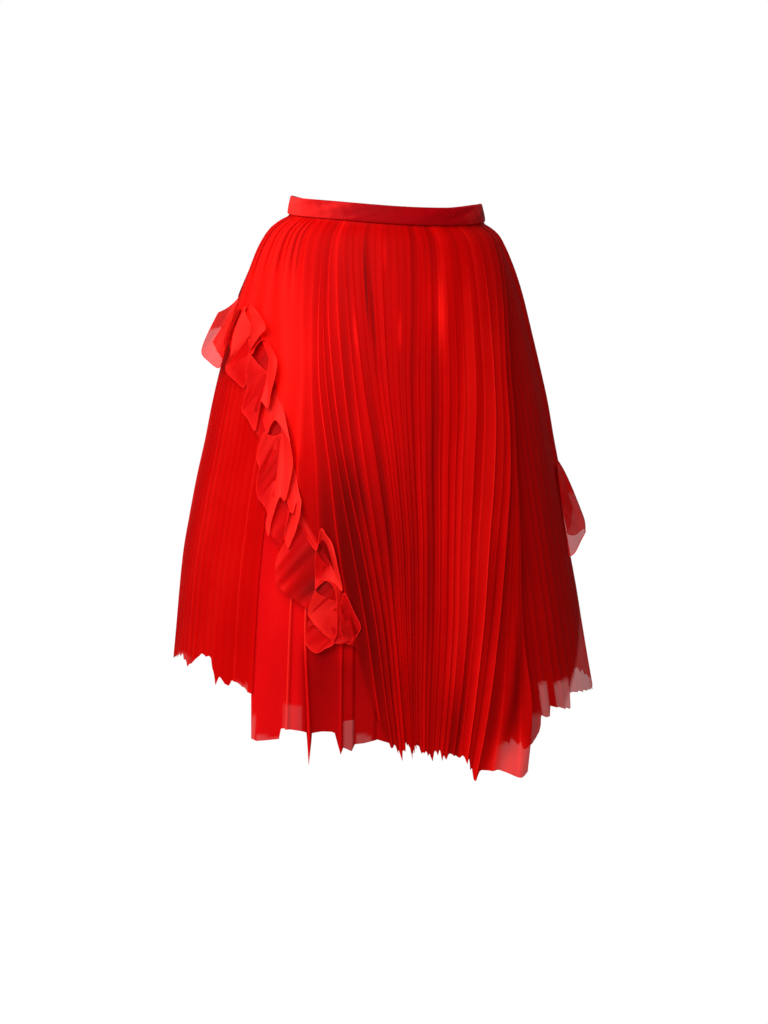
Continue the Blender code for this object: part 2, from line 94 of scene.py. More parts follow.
# ---- walls of the solids, whose middle the sheer cloth follows ----
SEAM_GAP = 0.0004
LINING_WALL = 0.0011
UNDER_WALL = 0.0011
OVER_WALL = 0.0012
TUCK_DROP = 0.0060
OVER_TOP_DROP = BAND_HALF_HEIGHT + SEAM_GAP
BAND_LAP_OUT = BAND_WALL + SEAM_GAP + BAND_LAP_AIR
EVEN_AT_DROP = 0.35      # where the gores and the lining are divided evenly
ROW_CROWDING = 0.15      # how much closer the rows lie near a top or a hem

# ---- pleats ----
BACK_PLEATS = 38
BACK_SEAM_DEG = -92.0
BACK_END_DEG = 84.0
HEM_ZIGZAG = 0.0060
SEAM_LAP_DEG = 0.8       # how far a gore's edge reaches under the next gore
SEAM_TUCK = 0.0006
PRESSED_BY = 0.0020      # the back panel's front edge lies in the under pleats
PRESSED_DEG = 7.0
VALLEY = 0.34            # where the valley lies after a ridge, share of a pleat
PLEAT_SHARE = 0.29       # depth of the sheer cloth's pleats, share of the solid's
RIDGE_SHARE = 0.85
PLEATS_FROM = -0.7       # pleat number at which the hip ends and pleats begin
PAST_LAST_RIDGE = 30.6
CORNER_FROM = 28.6       # pleat number at which the loose corner begins
UNDERLAP_FROM = -38.0    # sides of the underlap and its thin pleat, in degrees
UNDERLAP_TO = 11.8
THIN_PLEAT_DEG = -19.6
THIN_PLEAT_LEAN_DEG = -2.4
CORNER_OFF = 0.004       # how far the loose corner stands off, on average
# Where columns lie between one ridge and the next.
BETWEEN_RIDGES = (0.0, 0.035, 0.075, 0.13, 0.20, 0.28, 0.38, 0.49, 0.60, 0.71, 0.81, 0.90,
                  0.96)

# ---- how far cloth swells, sways or steps unevenly; sways are in radians ----
LINING_WAVE = 0.0016
GORE_SWELL = 0.0015
GORE_SWAY = 0.006
UNDERLAP_SWELL = 0.0012
UNDERLAP_SWAY = 0.004
FRONT_SWELL = 0.0016
HEM_JAG = 0.0035
FAINT_SHARE = 0.62       # how much fainter the pleats of the upper right are

# ---- ruffles ----
RUFFLE_FRONT_END_DROP = 0.5421
RUFFLE_ROWS = 28
RIM_STEPS = 9            # columns between two drawn points of the free edge
MOUTH_FLARE = 0.72
BLUR_COLUMNS = 20        # reach of the blur that evens the rims near the seam
FLUTES_OFF = 0.0006      # how far a ruffle's seam stands off the outer panels
LOWER_OFF = 0.0004
LOWER_FROM = 0.030       # where on the seam the layer below the flutes starts
DIP_OUT_MM = 1.2         # how high the edge lies where it dips between flutes
SIDE_TIP_LEVEL = -0.150  # below it the ruffle's side tip is one layer
RIPPLE = 0.0010
GATHER = 0.0003
BACK_WAVES = 14
BACK_REACH = 0.022
BACK_SWING = 0.0085
BACK_HEM_WAVE = 0.010
BACK_TIP_REACH = 0.0110  # how much further the wave at the outline stands out
BACK_TIP_SHARE = 0.09    # that wave's share of the seam, and the drop below
BACK_TIP_DROP = 0.372    # which it is one layer
ROLL_RADIUS = 0.0006
FINE_ROLL_RADIUS = 0.00035
ROLL_SIDES = 6
LEAST_FILLED = 0.34      # least share of its flat rectangle that a ruffle fills

# ---- finishes and light ----
CLOUDS_PER_M = 14.0
CLOUD_TONE = 0.16
SLUBS_PER_M = (900.0, 26.0)  # thick threads: 1.1 mm apart, each about 40 mm long
SLUB_TONE = 0.06
WAVE_UNIT = 0.314        # scale at which a wave texture repeats once a unit
THREAD_RELIEF = 0.0002
FIBRE_IOR = 1.46
# Painted shading of the pleats: a painted shade in each valley, a little painted light up each
# face, and a painted highlight on each crease.
VALLEY_TONE = 0.42
FACE_TONE = 0.04
CREASE_HIGHLIGHT_TONE = 0.14
CREASE_FROM = 0.86       # height above which a pleat gets the painted highlight of its crease
THROUGH_LIGHT_TONE = 1.5          # painted light: how much brighter cloth is painted as it stops less light
SINGLE_COVER = 0.87      # share of light stopped by one layer and by more
RUFFLE_COVER = 0.985
BACK_SINGLE_COVER = 0.86
BACK_COVER = 0.992
CORNER_COVER = 0.950
WHITE = (1.0, 1.0, 1.0, 1.0)
DIM_LIGHT = 0.34
FLOOR_RADIUS = 4.0
FLOOR_LEVEL = -1.02

# Painted highlights of the band's sheen, painted shade and light on the under
# skirt, broad rolls that the front pleats ride on, and where the painted
# highlights on the front creases are brightest.
# middle in degrees or pleat number, half width, height
BAND_PAINTED_SHEEN = ((-72.0, 22.0, 0.55), (-35.0, 20.0, 0.18), (64.0, 20.0, 0.16))
GORE_PAINTED_SHADING = ((66.0, 24.0, -0.16), (305.0, 22.0, 0.10))
FRONT_ROLLS = ((26.4, 1.0, 0.0035), (28.2, 0.7, 0.0035), (8.0, 4.0, -0.0022), (1.0, 1.2, 0.0020))
BRIGHTEST_CREASE_HIGHLIGHTS = ((2.5, 3.2, 0.34), (26.5, 2.5, 0.24))

# Gores of the under skirt.
# name of the cloth, node it stands for, angle from, angle to, pleats
GORES = (
    ("under_gore_right_cloth", "under_gore_right", 12.0, 88.0, 19),
    ("under_gore_back_right_cloth", "under_gore_back_right", 88.2, 177.0, 21),
    ("under_gore_back_left_cloth", "under_gore_back_left", 177.2, 268.0, 24),
    ("under_gore_left_cloth", "under_gore_left", 268.2, 321.8, 16),
)

# Outer skin of the lining: half sizes of each level section.
# drop, left, right, front, back
FORM = (
    (0.0050, 0.1190, 0.1190, 0.0870, 0.0870),
    (0.0135, 0.1212, 0.1212, 0.0892, 0.0893),
    (0.0200, 0.1300, 0.1304, 0.0958, 0.0970),
    (0.0300, 0.1421, 0.1398, 0.1030, 0.1060),
    (0.0450, 0.1526, 0.1468, 0.1105, 0.1160),
    (0.0600, 0.1603, 0.1524, 0.1165, 0.1250),
    (0.0800, 0.1689, 0.1590, 0.1225, 0.1350),
    (0.1100, 0.1815, 0.1672, 0.1305, 0.1475),
    (0.1500, 0.1945, 0.1766, 0.1385, 0.1580),
    (0.2000, 0.2090, 0.1882, 0.1480, 0.1670),
    (0.2500, 0.2207, 0.1988, 0.1550, 0.1720),
    (0.3000, 0.2306, 0.2070, 0.1620, 0.1765),
    (0.3500, 0.2418, 0.2165, 0.1680, 0.1810),
    (0.4000, 0.2514, 0.2255, 0.1725, 0.1848),
    (0.4500, 0.2601, 0.2345, 0.1760, 0.1880),
    (0.5000, 0.2655, 0.2437, 0.1795, 0.1915),
    (0.5500, 0.2700, 0.2518, 0.1825, 0.1950),
    (0.6000, 0.2749, 0.2603, 0.1850, 0.1985),
    (0.6600, 0.2810, 0.2712, 0.1878, 0.2030),
    (0.7300, 0.2878, 0.2838, 0.1905, 0.2078),
)

# How far the layers stand off one another and how deep their pleats are.
# drop, under gap, under depth, over gap, over depth
LAYERS = (
    (0.0050, 0.0004, 0.0008, 0.0004, 0.0008),
    (0.0135, 0.0004, 0.0008, 0.0004, 0.0008),
    (0.0300, 0.0005, 0.0014, 0.0006, 0.0018),
    (0.0600, 0.0007, 0.0020, 0.0010, 0.0026),
    (0.1200, 0.0012, 0.0028, 0.0014, 0.0032),
    (0.2000, 0.0020, 0.0035, 0.0010, 0.0036),
    (0.3000, 0.0030, 0.0040, 0.0012, 0.0042),
    (0.4500, 0.0040, 0.0045, 0.0018, 0.0044),
    (0.6000, 0.0050, 0.0050, 0.0018, 0.0046),
    (0.7300, 0.0055, 0.0052, 0.0018, 0.0048),
)

# Angles of the pleat lines of the front wrap panel, in degrees.
# drop, then the line with each pleat number of FRONT_LINES
FRONT_LINES = (-6.0, 0.0, 2.0, 4.0, 6.0, 8.0, 15.0, 23.0, 26.0, 28.0, 30.0)
FRONT_PHI = (
    (0.0125, -92.0, -44.5, -32.5, -28.0, -22.5, -16.0, 10.5, 38.8, 53.0, 70.0, 78.0),
    (0.1000, -92.0, -37.0, -27.2, -23.3, -16.0, -11.0, 8.8, 34.2, 47.0, 57.8, 61.5),
    (0.2000, -90.0, -30.8, -22.8, -17.8, -11.1, -6.2, 7.4, 31.0, 42.5, 49.5, 53.0),
    (0.3000, -86.0, -29.5, -17.5, -12.4, -6.9, -1.5, 8.0, 27.0, 37.8, 45.4, 49.0),
    (0.4000, -82.0, -28.0, -13.6, -6.8, -2.8, 1.5, 8.6, 23.8, 32.3, 39.0, 45.6),
    (0.5000, -78.0, -26.0, -9.6, -2.8, 0.5, 3.0, 8.2, 21.5, 28.0, 33.3, 42.4),
    (0.6000, -74.0, -24.0, -6.4, -0.2, 2.5, 4.5, 7.8, 18.5, 23.8, 28.2, 41.5),
    (0.7000, -70.0, -22.0, -2.6, 2.8, 4.4, 5.8, 8.0, 15.0, 19.6, 22.6, 38.0),
)

# Ridges of the front pleats.
# pleat number, share of the full depth
FRONT_RIDGES = (
    (0.3, 1.10), (1.2, 0.45), (2.1, 0.95), (3.1, 0.95), (4.1, 1.05),
    (5.1, 0.95), (6.2, 0.85), (7.4, 0.95), (8.4, 0.50), (9.5, 0.80),
    (10.5, 0.40), (11.5, 0.95), (12.5, 0.42), (13.6, 0.70), (14.6, 0.95),
    (15.5, 0.65), (16.6, 0.90), (17.5, 0.50), (18.3, 0.95), (19.5, 0.95),
    (20.6, 0.75), (21.6, 0.90), (22.5, 0.85), (23.9, 1.00), (24.9, 0.50),
    (26.1, 1.35), (27.0, 0.50), (28.0, 1.35), (28.8, 0.50), (29.6, 0.60),
)

# Soft folds of the hip, left of the pleats.
# pleat number at the waist, at the end of the fold, width, height, length
HIP_FOLDS = (
    (-5.55, -5.7, 0.22, 0.0030, 0.10),
    (-5.00, -5.0, 0.24, 0.0032, 0.14),
    (-4.40, -4.2, 0.22, 0.0034, 0.20),
    (-3.85, -3.6, 0.20, 0.0026, 0.10),
    (-3.30, -2.9, 0.26, 0.0040, 0.36),
    (-2.75, -2.5, 0.18, 0.0026, 0.10),
    (-2.20, -1.6, 0.24, 0.0040, 0.50),
    (-1.60, -1.2, 0.18, 0.0026, 0.13),
    (-1.10, -0.6, 0.20, 0.0034, 0.40),
    (-0.55, -0.4, 0.14, 0.0024, 0.16),
)

# Broad painted light and shade on the front panel: painted shade along deep
# folds, in the pleated middle and lower down; painted light on the hip, on a
# few pleats, and where the loose corner's single layer lets light through.
# pleat number, half width, drop, half height, step in tone
FRONT_PAINTED_SHADING = (
    (-3.0, 2.6, 0.100, 0.120, 0.34), (-0.8, 1.3, 0.200, 0.140, 0.30),
    (9.3, 0.22, 0.078, 0.050, -0.42), (10.0, 0.22, 0.118, 0.062, -0.46),
    (19.7, 0.50, 0.115, 0.040, 0.46), (13.9, 0.28, 0.136, 0.022, 0.34),
    (18.2, 1.30, 0.090, 0.045, 0.14), (7.1, 0.28, 0.138, 0.022, 0.26),
    (11.9, 0.35, 0.045, 0.020, 0.20), (2.7, 1.20, 0.400, 0.110, -0.16),
    (4.0, 4.20, 0.480, 0.250, -0.40), (13.0, 2.20, 0.600, 0.050, -0.16),
    (27.0, 1.60, 0.350, 0.300, 0.04), (12.0, 5.00, 0.420, 0.130, -0.18),
    (8.5, 3.00, 0.500, 0.060, 0.18), (22.5, 2.50, 0.630, 0.050, -0.26),
    (5.0, 1.20, 0.330, 0.045, -0.20), (27.2, 0.80, 0.460, 0.070, -0.16),
    (29.3, 0.75, 0.690, 0.034, 0.58), (29.0, 0.55, 0.570, 0.070, -0.14),
    (28.4, 0.20, 0.640, 0.060, -0.16), (0.3, 0.25, 0.240, 0.120, 0.25),
    (24.5, 2.50, 0.200, 0.160, 0.20), (1.0, 2.50, 0.190, 0.110, 0.16),
    (24.0, 3.00, 0.450, 0.120, 0.12),
)

# Lower left edge of the front wrap panel, from the side seam to the hem.
# drop, angle in degrees
FRONT_SEAM = (
    (0.1130, -92.0),
    (0.1200, -78.0),
    (0.1300, -63.0),
    (0.1474, -51.5),
    (0.1720, -45.0),
    (0.1995, -40.0),
    (0.2529, -33.2),
    (0.3196, -27.8),
    (0.3621, -24.0),
    (0.4043, -17.2),
    (0.4535, -11.8),
    (0.4976, -9.0),
    (0.5421, -7.0),
    (0.6000, -3.2),
    (0.6534, 1.0),
)

# Hem of the front wrap panel.
# pleat number, drop
FRONT_HEM = (
    (2.0, 0.652),
    (4.0, 0.656),
    (6.0, 0.663),
    (8.0, 0.655),
    (11.0, 0.663),
    (15.0, 0.658),
    (19.0, 0.670),
    (21.0, 0.665),
    (23.0, 0.668),
    (26.0, 0.682),
    (28.0, 0.690),
    (28.8, 0.694),
    (29.3, 0.700),
    (29.7, 0.706),
    (30.0, 0.702),
)

# Hem of the pleated under skirt, cut in steps.
# angle in degrees, drop, share of the zigzag
UNDER_HEM = (
    (12.0, 0.642, 1.0), (38.0, 0.664, 1.0), (38.8, 0.678, 0.2), (41.0, 0.671, 0.2),
    (43.4, 0.665, 0.2), (45.2, 0.655, 0.2), (46.6, 0.637, 0.2), (50.4, 0.641, 0.2),
    (50.9, 0.627, 0.2), (60.2, 0.640, 0.2), (61.0, 0.618, 0.2), (86.0, 0.638, 0.3),
    (88.0, 0.634, 0.5), (120.0, 0.640, 1.0), (150.0, 0.640, 1.0),
    (180.0, 0.632, 1.0), (210.0, 0.622, 1.0), (240.0, 0.610, 1.0),
    (266.0, 0.604, 0.6), (288.0, 0.577, 0.5), (294.0, 0.587, 0.4),
    (301.0, 0.564, 0.2), (306.0, 0.565, 0.2), (308.8, 0.600, 0.1),
    (310.0, 0.587, 0.1), (314.0, 0.597, 0.1), (315.2, 0.587, 0.1),
    (318.5, 0.591, 0.1), (321.9, 0.600, 0.1),
)

# Hem of the lining.
# angle in degrees, drop
LINING_HEM = (
    (-180.0, 0.575),
    (-92.0, 0.552),
    (-45.0, 0.546),
    (-27.0, 0.606),
    (-22.9, 0.600),
    (-16.0, 0.632),
    (-8.0, 0.625),
    (15.0, 0.618),
    (46.0, 0.592),
    (60.0, 0.603),
    (67.0, 0.598),
    (76.0, 0.572),
    (92.0, 0.572),
    (180.0, 0.575),
)

# The smooth under panel at the lower left of the front.
# angle in degrees, hem drop, share of the fold depth
UNDERLAP = (
    (-38.0, 0.6000, 0.30), (-37.2, 0.6600, 0.20), (-35.5, 0.6625, 0.05),
    (-31.5, 0.6580, 0.35), (-28.6, 0.6550, 0.30), (-28.1, 0.6410, 0.35),
    (-27.2, 0.6400, 0.45), (-26.4, 0.6400, 1.15), (-25.6, 0.6410, 0.25),
    (-22.5, 0.6420, 0.10), (-20.6, 0.6425, 0.50), (-19.6, 0.6850, 1.25),
    (-19.0, 0.6430, 0.35), (-16.5, 0.6405, 0.05), (-14.0, 0.6400, 0.15),
    (-13.2, 0.6410, 0.45), (-11.6, 0.6680, 0.90), (-11.1, 0.6600, 0.20),
    (-8.9, 0.6630, 0.70), (-8.2, 0.6550, 0.15), (-5.7, 0.6525, 0.45),
    (-3.4, 0.6490, 0.60), (-2.2, 0.6480, 0.15), (0.7, 0.6525, 0.15),
    (3.5, 0.6560, 0.70), (5.0, 0.6500, 0.15), (8.3, 0.6560, 0.60),
    (9.5, 0.6500, 0.15), (11.8, 0.6540, 0.50),
)

# Where single layers hang and more light comes through. A lean spreads both
# sides the lower it gets, as where the lining is narrower than the skirt.
# angle from, angle to, softness in degrees, drop from, drop to, share stopped,
# lean in degrees for each metre
UNDER_PALE = (
    (-45.0, -37.8, 0.8, 0.588, 0.800, 0.930, 0.0),
    (46.8, 50.8, 0.8, 0.592, 0.800, 0.930, 0.0),
    (53.2, 61.6, 0.8, 0.597, 0.800, 0.935, 0.0),
    (62.4, 90.0, 0.8, 0.606, 0.800, 0.920, 0.0),
    (41.2, 46.8, 0.8, 0.631, 0.800, 0.970, 0.0),
    (14.0, 16.5, 0.8, 0.620, 0.800, 0.980, 0.0),
    (-113.0, -77.0, 12.0, 0.260, 0.545, 0.900, 0.0),
    (88.0, 94.0, 2.0, 0.500, 0.800, 0.860, 240.0),
    (-181.0, -62.0, 10.0, 0.572, 0.800, 0.955, 0.0),
    (96.0, 181.0, 10.0, 0.574, 0.800, 0.940, 0.0),
)
UNDERLAP_PALE = (
    (-38.4, -35.8, 0.8, 0.628, 0.800, 0.940, 0.0),
    (-36.0, -28.0, 0.8, 0.652, 0.800, 0.950, 0.0),
    (-28.0, -21.8, 0.8, 0.607, 0.800, 0.975, 0.0),
    (-11.4, -8.3, 0.8, 0.610, 0.800, 0.950, 0.0),
    (-8.2, -3.5, 0.8, 0.640, 0.800, 0.955, 0.0),
)

# Lower edge of the back overlay, which the back ruffle follows.
# angle in degrees, drop
BACK_EDGE = (
    (84.0, 0.338),
    (120.0, 0.305),
    (150.0, 0.262),
    (180.0, 0.222),
    (210.0, 0.182),
    (240.0, 0.146),
    (268.0, 0.113),
)

# Flutes of the front ruffle, from the side seam to its tail: the throat of each
# as the camera sees it, how far it stands off the panel, its tone, which paints
# the light and shade of the throat, and the stretch of the seam that feeds it.
# mm right of and mm below the picture's middle, mm out, tone, seam from, seam to
FLUTES = (
    (-209, -259, 17, 1.00, 0.000, 0.085),
    (-168, -226, 8, 0.72, 0.110, 0.200),
    (-154, -182, 12, 0.66, 0.225, 0.310),
    (-136, -79, 11, 0.66, 0.345, 0.450),
    (-114, 12, 8, 0.62, 0.500, 0.560),
    (-71, 60, 7, 0.55, 0.735, 0.790),
    (-76, 115, 7, 0.60, 0.820, 0.880),
    (-80, 158, 2, 0.40, 0.885, 0.915),
    (-48, 125, 2, 0.20, 0.930, 1.000),
)

# The free edge round the mouth of each flute, drawn as the camera sees it, with
# a tone at each point: painted light on the lit walls, painted shade in hollows.
# mm right of and mm below the picture's middle, mm out, tone
RIMS = (
    ((-207, -250, 4, 0.90), (-221, -222, 9, 0.92), (-228, -200, 12, 0.80),
     (-219, -188, 12, 0.80), (-206, -180, 8, 0.66), (-201, -194, 9, 0.56),
     (-198, -216, 11, 0.60), (-191, -238, 12, 0.74), (-185, -257, 11, 0.72)),
    ((-175, -252, 8, 0.86), (-169, -261, 8, 0.86), (-162, -255, 9, 0.92),
     (-154, -244, 19, 0.95), (-148, -230, 18, 0.98), (-156, -220, 15, 0.80),
     (-168, -201, 12, 0.60), (-171, -180, 9, 0.52), (-174, -156, 6, 0.55),
     (-184, -162, 6, 0.52), (-198, -178, 6, 0.62), (-192, -196, 9, 0.86),
     (-188, -224, 11, 0.92)),
    ((-166, -198, 12, 0.66), (-159, -209, 10, 0.72), (-150, -216, 9, 0.84),
     (-141, -205, 11, 0.92), (-134, -190, 14, 1.00), (-136, -172, 18, 0.92),
     (-141, -150, 15, 0.86), (-145, -130, 12, 0.80), (-155, -138, 13, 0.88),
     (-159, -110, 9, 1.00), (-162, -102, 7, 0.66), (-170, -116, 6, 0.50),
     (-178, -129, 6, 0.52), (-172, -148, 8, 0.52), (-172, -168, 10, 0.45),
     (-172, -181, 12, 0.55)),
    ((-148, -100, 9, 0.72), (-141, -109, 9, 0.80), (-135, -115, 9, 0.88),
     (-126, -102, 11, 0.94), (-119, -89, 14, 1.00), (-115, -72, 17, 1.00),
     (-114, -58, 15, 0.90), (-118, -35, 12, 0.84), (-124, -14, 9, 0.80),
     (-131, -18, 12, 1.00), (-140, 9, 10, 1.00), (-144, 29, 7, 0.92), (-148, 18, 8, 0.74),
     (-146, 1, 6, 0.56), (-151, -10, 6, 0.50), (-158, -20, 6, 0.45), (-159, -40, 9, 0.45),
     (-156, -55, 11, 0.50), (-159, -70, 12, 0.60)),
    ((-116, 0, 9, 0.66), (-110, -10, 8, 0.86), (-104, -16, 8, 0.98), (-105, 2, 12, 0.98),
     (-109, 20, 11, 0.90), (-115, 35, 9, 0.80), (-120, 45, 8, 0.80), (-124, 35, 8, 0.72),
     (-124, 24, 9, 0.66), (-120, 9, 9, 0.62)),
    ((-85, 48, 10, 0.55), (-79, 21, 8, 0.80), (-71, 30, 8, 0.86), (-64, 42, 10, 0.95),
     (-58, 68, 12, 0.80), (-52, 98, 8, 0.90), (-62, 89, 7, 0.95), (-70, 85, 6, 0.70),
     (-84, 84, 6, 0.50), (-86, 68, 8, 0.40)),
    ((-86, 98, 8, 0.66), (-84, 86, 7, 0.80), (-72, 86, 6, 0.76), (-62, 95, 7, 0.66),
     (-59, 118, 9, 0.55), (-60, 155, 5, 0.50), (-70, 156, 6, 0.62), (-80, 146, 7, 0.62),
     (-91, 135, 7, 0.70), (-95, 124, 7, 0.66)),
    ((-94, 142, 4, 0.50), (-88, 140, 5, 0.45), (-78, 150, 5, 0.40), (-65, 161, 5, 0.45),
     (-64, 166, 4, 0.50), (-74, 171, 4, 0.50), (-84, 176, 4, 0.58), (-94, 170, 4, 0.55),
     (-98, 160, 4, 0.55)),
    ((-55, 115, 5, 0.36), (-51, 102, 7, 0.40), (-46, 106, 8, 0.42), (-38, 124, 7, 0.40),
     (-29, 144, 5, 0.42), (-38, 158, 4, 0.36), (-46, 165, 3, 0.34), (-54, 148, 3, 0.20)),
)

# Free edge of the layer that lies below the flutes, drawn the same way; its
# tone paints the shade under the flutes.
# mm right of and mm below the picture's middle, mm out, tone
LOWER_EDGE = (
    (-206, -194, 6, 0.50), (-202, -202, 5, 0.46), (-199, -210, 4, 0.44),
    (-195, -218, 3, 0.50), (-192, -200, 4, 0.55), (-191, -182, 4, 0.50),
    (-181, -166, 3, 0.45), (-176, -150, 4, 0.45), (-176, -129, 5, 0.48),
    (-168, -114, 4, 0.45), (-160, -99, 4, 0.55), (-155, -88, 3, 0.45),
    (-158, -70, 5, 0.52), (-155, -52, 4, 0.46), (-159, -36, 6, 0.46),
    (-156, -19, 5, 0.50), (-149, -8, 4, 0.50), (-145, 10, 5, 0.62), (-141, 28, 5, 0.58),
    (-131, 42, 4, 0.45), (-134, 56, 6, 0.70), (-136, 70, 7, 0.72), (-135, 89, 7, 0.58),
    (-126, 99, 5, 0.50), (-118, 106, 3, 0.44), (-105, 115, 3, 0.36),
    (-94, 124, 5, 0.50), (-96, 141, 5, 0.50), (-98, 160, 4, 0.50), (-84, 175, 4, 0.50),
    (-64, 165, 3, 0.42), (-48, 164, 3, 0.34), (-32, 145, 3, 0.36),
)

# Where the free edge of the back ruffle lies beside its seam.
# share of the length, angle step, drop step, lift at the free edge
RUFFLE_BACK = (
    (0.000, -5.0, 0.102, 0.000),
    (0.020, -2.0, 0.106, 0.002),
    (0.050, 0.5, 0.104, 0.005),
    (0.150, 1.0, 0.096, 0.006),
    (0.500, 1.0, 0.080, 0.006),
    (1.000, 0.0, 0.064, 0.006),
)


def column(table, index):
    """One column of a table as an array."""
    return np.array([row[index] for row in table], dtype=float)


def stretch(xs, at):
    """The stretch of xs on which each place lies, the length of that stretch,
    and the share of it that lies before the place."""
    step = np.diff(xs)
    i = np.clip(np.searchsorted(xs, at, side="right") - 1, 0, len(step) - 1)
    return i, step[i], (at - xs[i]) / step[i]


def slopes(rise):
    """Slopes of a monotone cubic: the harmonic mean of both sides, or none."""
    left, right = rise[..., :-1], rise[..., 1:]
    same = left * right > 0.0
    total = np.where(same, left + right, 1.0)
    inner = np.where(same, 2.0 * left * right / total, 0.0)
    return np.concatenate([rise[..., :1], inner, rise[..., -1:]], axis=-1)


def cubic(u, step, left, right, slope_left, slope_right):
    """Cubic on one stretch, from the heights and slopes at its two ends."""
    return (left * (1 + 2 * u) * (1 - u) ** 2 + right * u * u * (3 - 2 * u)
            + slope_left * step * u * (1 - u) ** 2
            + slope_right * step * u * u * (u - 1))


def smooth(xs, ys, at):
    """Monotone cubic curve through the points xs, ys, read at `at`."""
    i, step, u = stretch(xs, np.clip(at, xs[0], xs[-1]))
    slope = slopes(np.diff(ys) / np.diff(xs))
    return cubic(u, step, ys[i], ys[i + 1], slope[i], slope[i + 1])


def smooth_rows(xs, rows, at):
    """The same curve, but every point has its own row of heights over xs."""
    i, step, u = stretch(xs, np.clip(at, xs[0], xs[-1]))
    slope = slopes(np.diff(rows, axis=-1) / np.diff(xs))

    def pick(values, j):
        return np.take_along_axis(values, j[:, None], axis=1)[:, 0]

    return cubic(u, step, pick(rows, i), pick(rows, i + 1), pick(slope, i), pick(slope, i + 1))


def read(table, index, at):
    """A table's column read as a smooth function of its first column."""
    return smooth(column(table, 0), column(table, index), at)


def read_straight(table, index, at):
    """A table's column read along straight lines, for steps and corners."""
    return np.interp(at, column(table, 0), column(table, index))


def ease(value):
    """Smooth step from 0 to 1: three squares less two cubes."""
    value = np.clip(value, 0.0, 1.0)
    return value * value * (3.0 - 2.0 * value)


def grow(at, start, width):
    """The same step as a place goes past the start, over the given width."""
    return ease((at - start) / width)


def bump(at, middle, width):
    """Bell curve of height 1 and the given half width."""
    return np.exp(-((at - middle) / width) ** 2)


def bumps(at, rows):
    """Sum of bells, each a row of middle, half width and height."""
    return sum(tall * bump(at, middle, width) for middle, width, tall in rows)


def drift(a, b, seed):
    """Slow uneven change from -1 to 1: the mean of four tilted sine waves."""
    rng = np.random.default_rng(seed)
    total = 0.0
    for turn_a, turn_b, start in rng.uniform((0.5, 0.5, 0), (2.2, 2.2, 6.28), (4, 3)):
        total = total + np.sin(turn_a * a + turn_b * b + start)
    return total / 4.0


def waver(a, b, seed):
    """The same change, from 0 to 1."""
    return 0.5 + 0.5 * drift(a, b, seed)


def around(deg):
    """The same angle between -180 and 180 degrees."""
    return (deg + 180.0) % 360.0 - 180.0


def rise_of_waist(phi, drop):
    """How much higher than its drop a point lies, since the waist tilts: lower
    toward +X and at the back, higher toward -X, at the front and at a soft
    crest. The tilt fades out on the way down to the hip."""
    side = -SIDE_TILT * np.sin(phi)
    back = -BACK_DIP * np.maximum(0.0, -np.cos(phi)) ** 1.5
    front = FRONT_LIFT * (0.5 + 0.5 * np.cos(phi))
    away = np.cos(phi - math.radians(CREST_DEG)) - 1.0
    crest = CREST_LIFT * np.exp(CREST_SHARPNESS * away)
    fade = grow(drop, TILT_FULL_DROP, TILT_GONE_DROP - TILT_FULL_DROP)
    return (side + back + front + crest) * (1.0 - fade)


def section_point(phi, half_x, half_y, out):
    """Point of an ellipse at the angle phi, moved out along its normal."""
    x, y = half_x * np.sin(phi), -half_y * np.cos(phi)
    nx, ny = half_y * np.sin(phi), -half_x * np.cos(phi)
    size = np.hypot(nx, ny)
    return x + out * nx / size, y + out * ny / size


def form_point(phi, drop, out):
    """Point at an angle and a drop, at a distance outside the lining."""
    phi, drop, out = np.broadcast_arrays(phi, drop, out)
    half_x = np.where(np.sin(phi) < 0.0, read(FORM, 1, drop), read(FORM, 2, drop))
    half_y = np.where(np.cos(phi) > 0.0, read(FORM, 3, drop), read(FORM, 4, drop))
    x, y = section_point(phi, half_x, half_y, out)
    return np.stack([x, y, rise_of_waist(phi, drop) - drop], axis=-1)


def under_inner(drop):
    """Inner skin of the under skirt in its valleys."""
    return read(LAYERS, 1, drop)


def under_outer(drop):
    """Outer skin of the under skirt on its ridges."""
    return under_inner(drop) + read(LAYERS, 2, drop) + UNDER_WALL


def over_inner(drop):
    """Inner skin of the outer panels in their valleys."""
    return under_outer(drop) + read(LAYERS, 3, drop)


def pleat_out(height, pleated=1.0):
    """Share of the solid's pleat depth at which the sheer cloth lies: its
    shallower pleats hang from just below the solid's ridges."""
    return RIDGE_SHARE * (1.0 - PLEAT_SHARE) * pleated + PLEAT_SHARE * height


def lengths(points, axis=0):
    """Distances between neighbours along one axis of a grid of points."""
    return np.linalg.norm(np.diff(points, axis=axis), axis=-1)


def run_of(points):
    """How far along a line of points each one lies."""
    return np.append(0.0, np.cumsum(lengths(points)))


def even_angles(start_deg, end_deg, count, drop, number):
    """Angles at numbers from 0 to count, which cut the section at one drop
    into equal lengths."""
    fine = np.radians(np.linspace(start_deg, end_deg, 2001))
    run = run_of(form_point(fine, drop, 0.0))
    return np.interp(number / count * run[-1], run, fine)


def unit(vectors):
    """Vectors of length 1."""
    size = np.linalg.norm(vectors, axis=-1, keepdims=True)
    return vectors / np.maximum(size, 1e-9)


def outward(phi, drop):
    """Direction straight out of the skirt at an angle and a drop."""
    return unit(form_point(phi, drop, 0.01) - form_point(phi, drop, 0.0))


def down_to(hem, top, rows):
    """Drops of a sheet's rows, from its top to its hem, set closer together
    near both."""
    t = np.linspace(0.0, 1.0, rows)[:, None]
    level = t - ROW_CROWDING * np.sin(2.0 * math.pi * t) / (2.0 * math.pi)
    return top + (hem - top) * level


# ---------------------------------------------------------------- materials

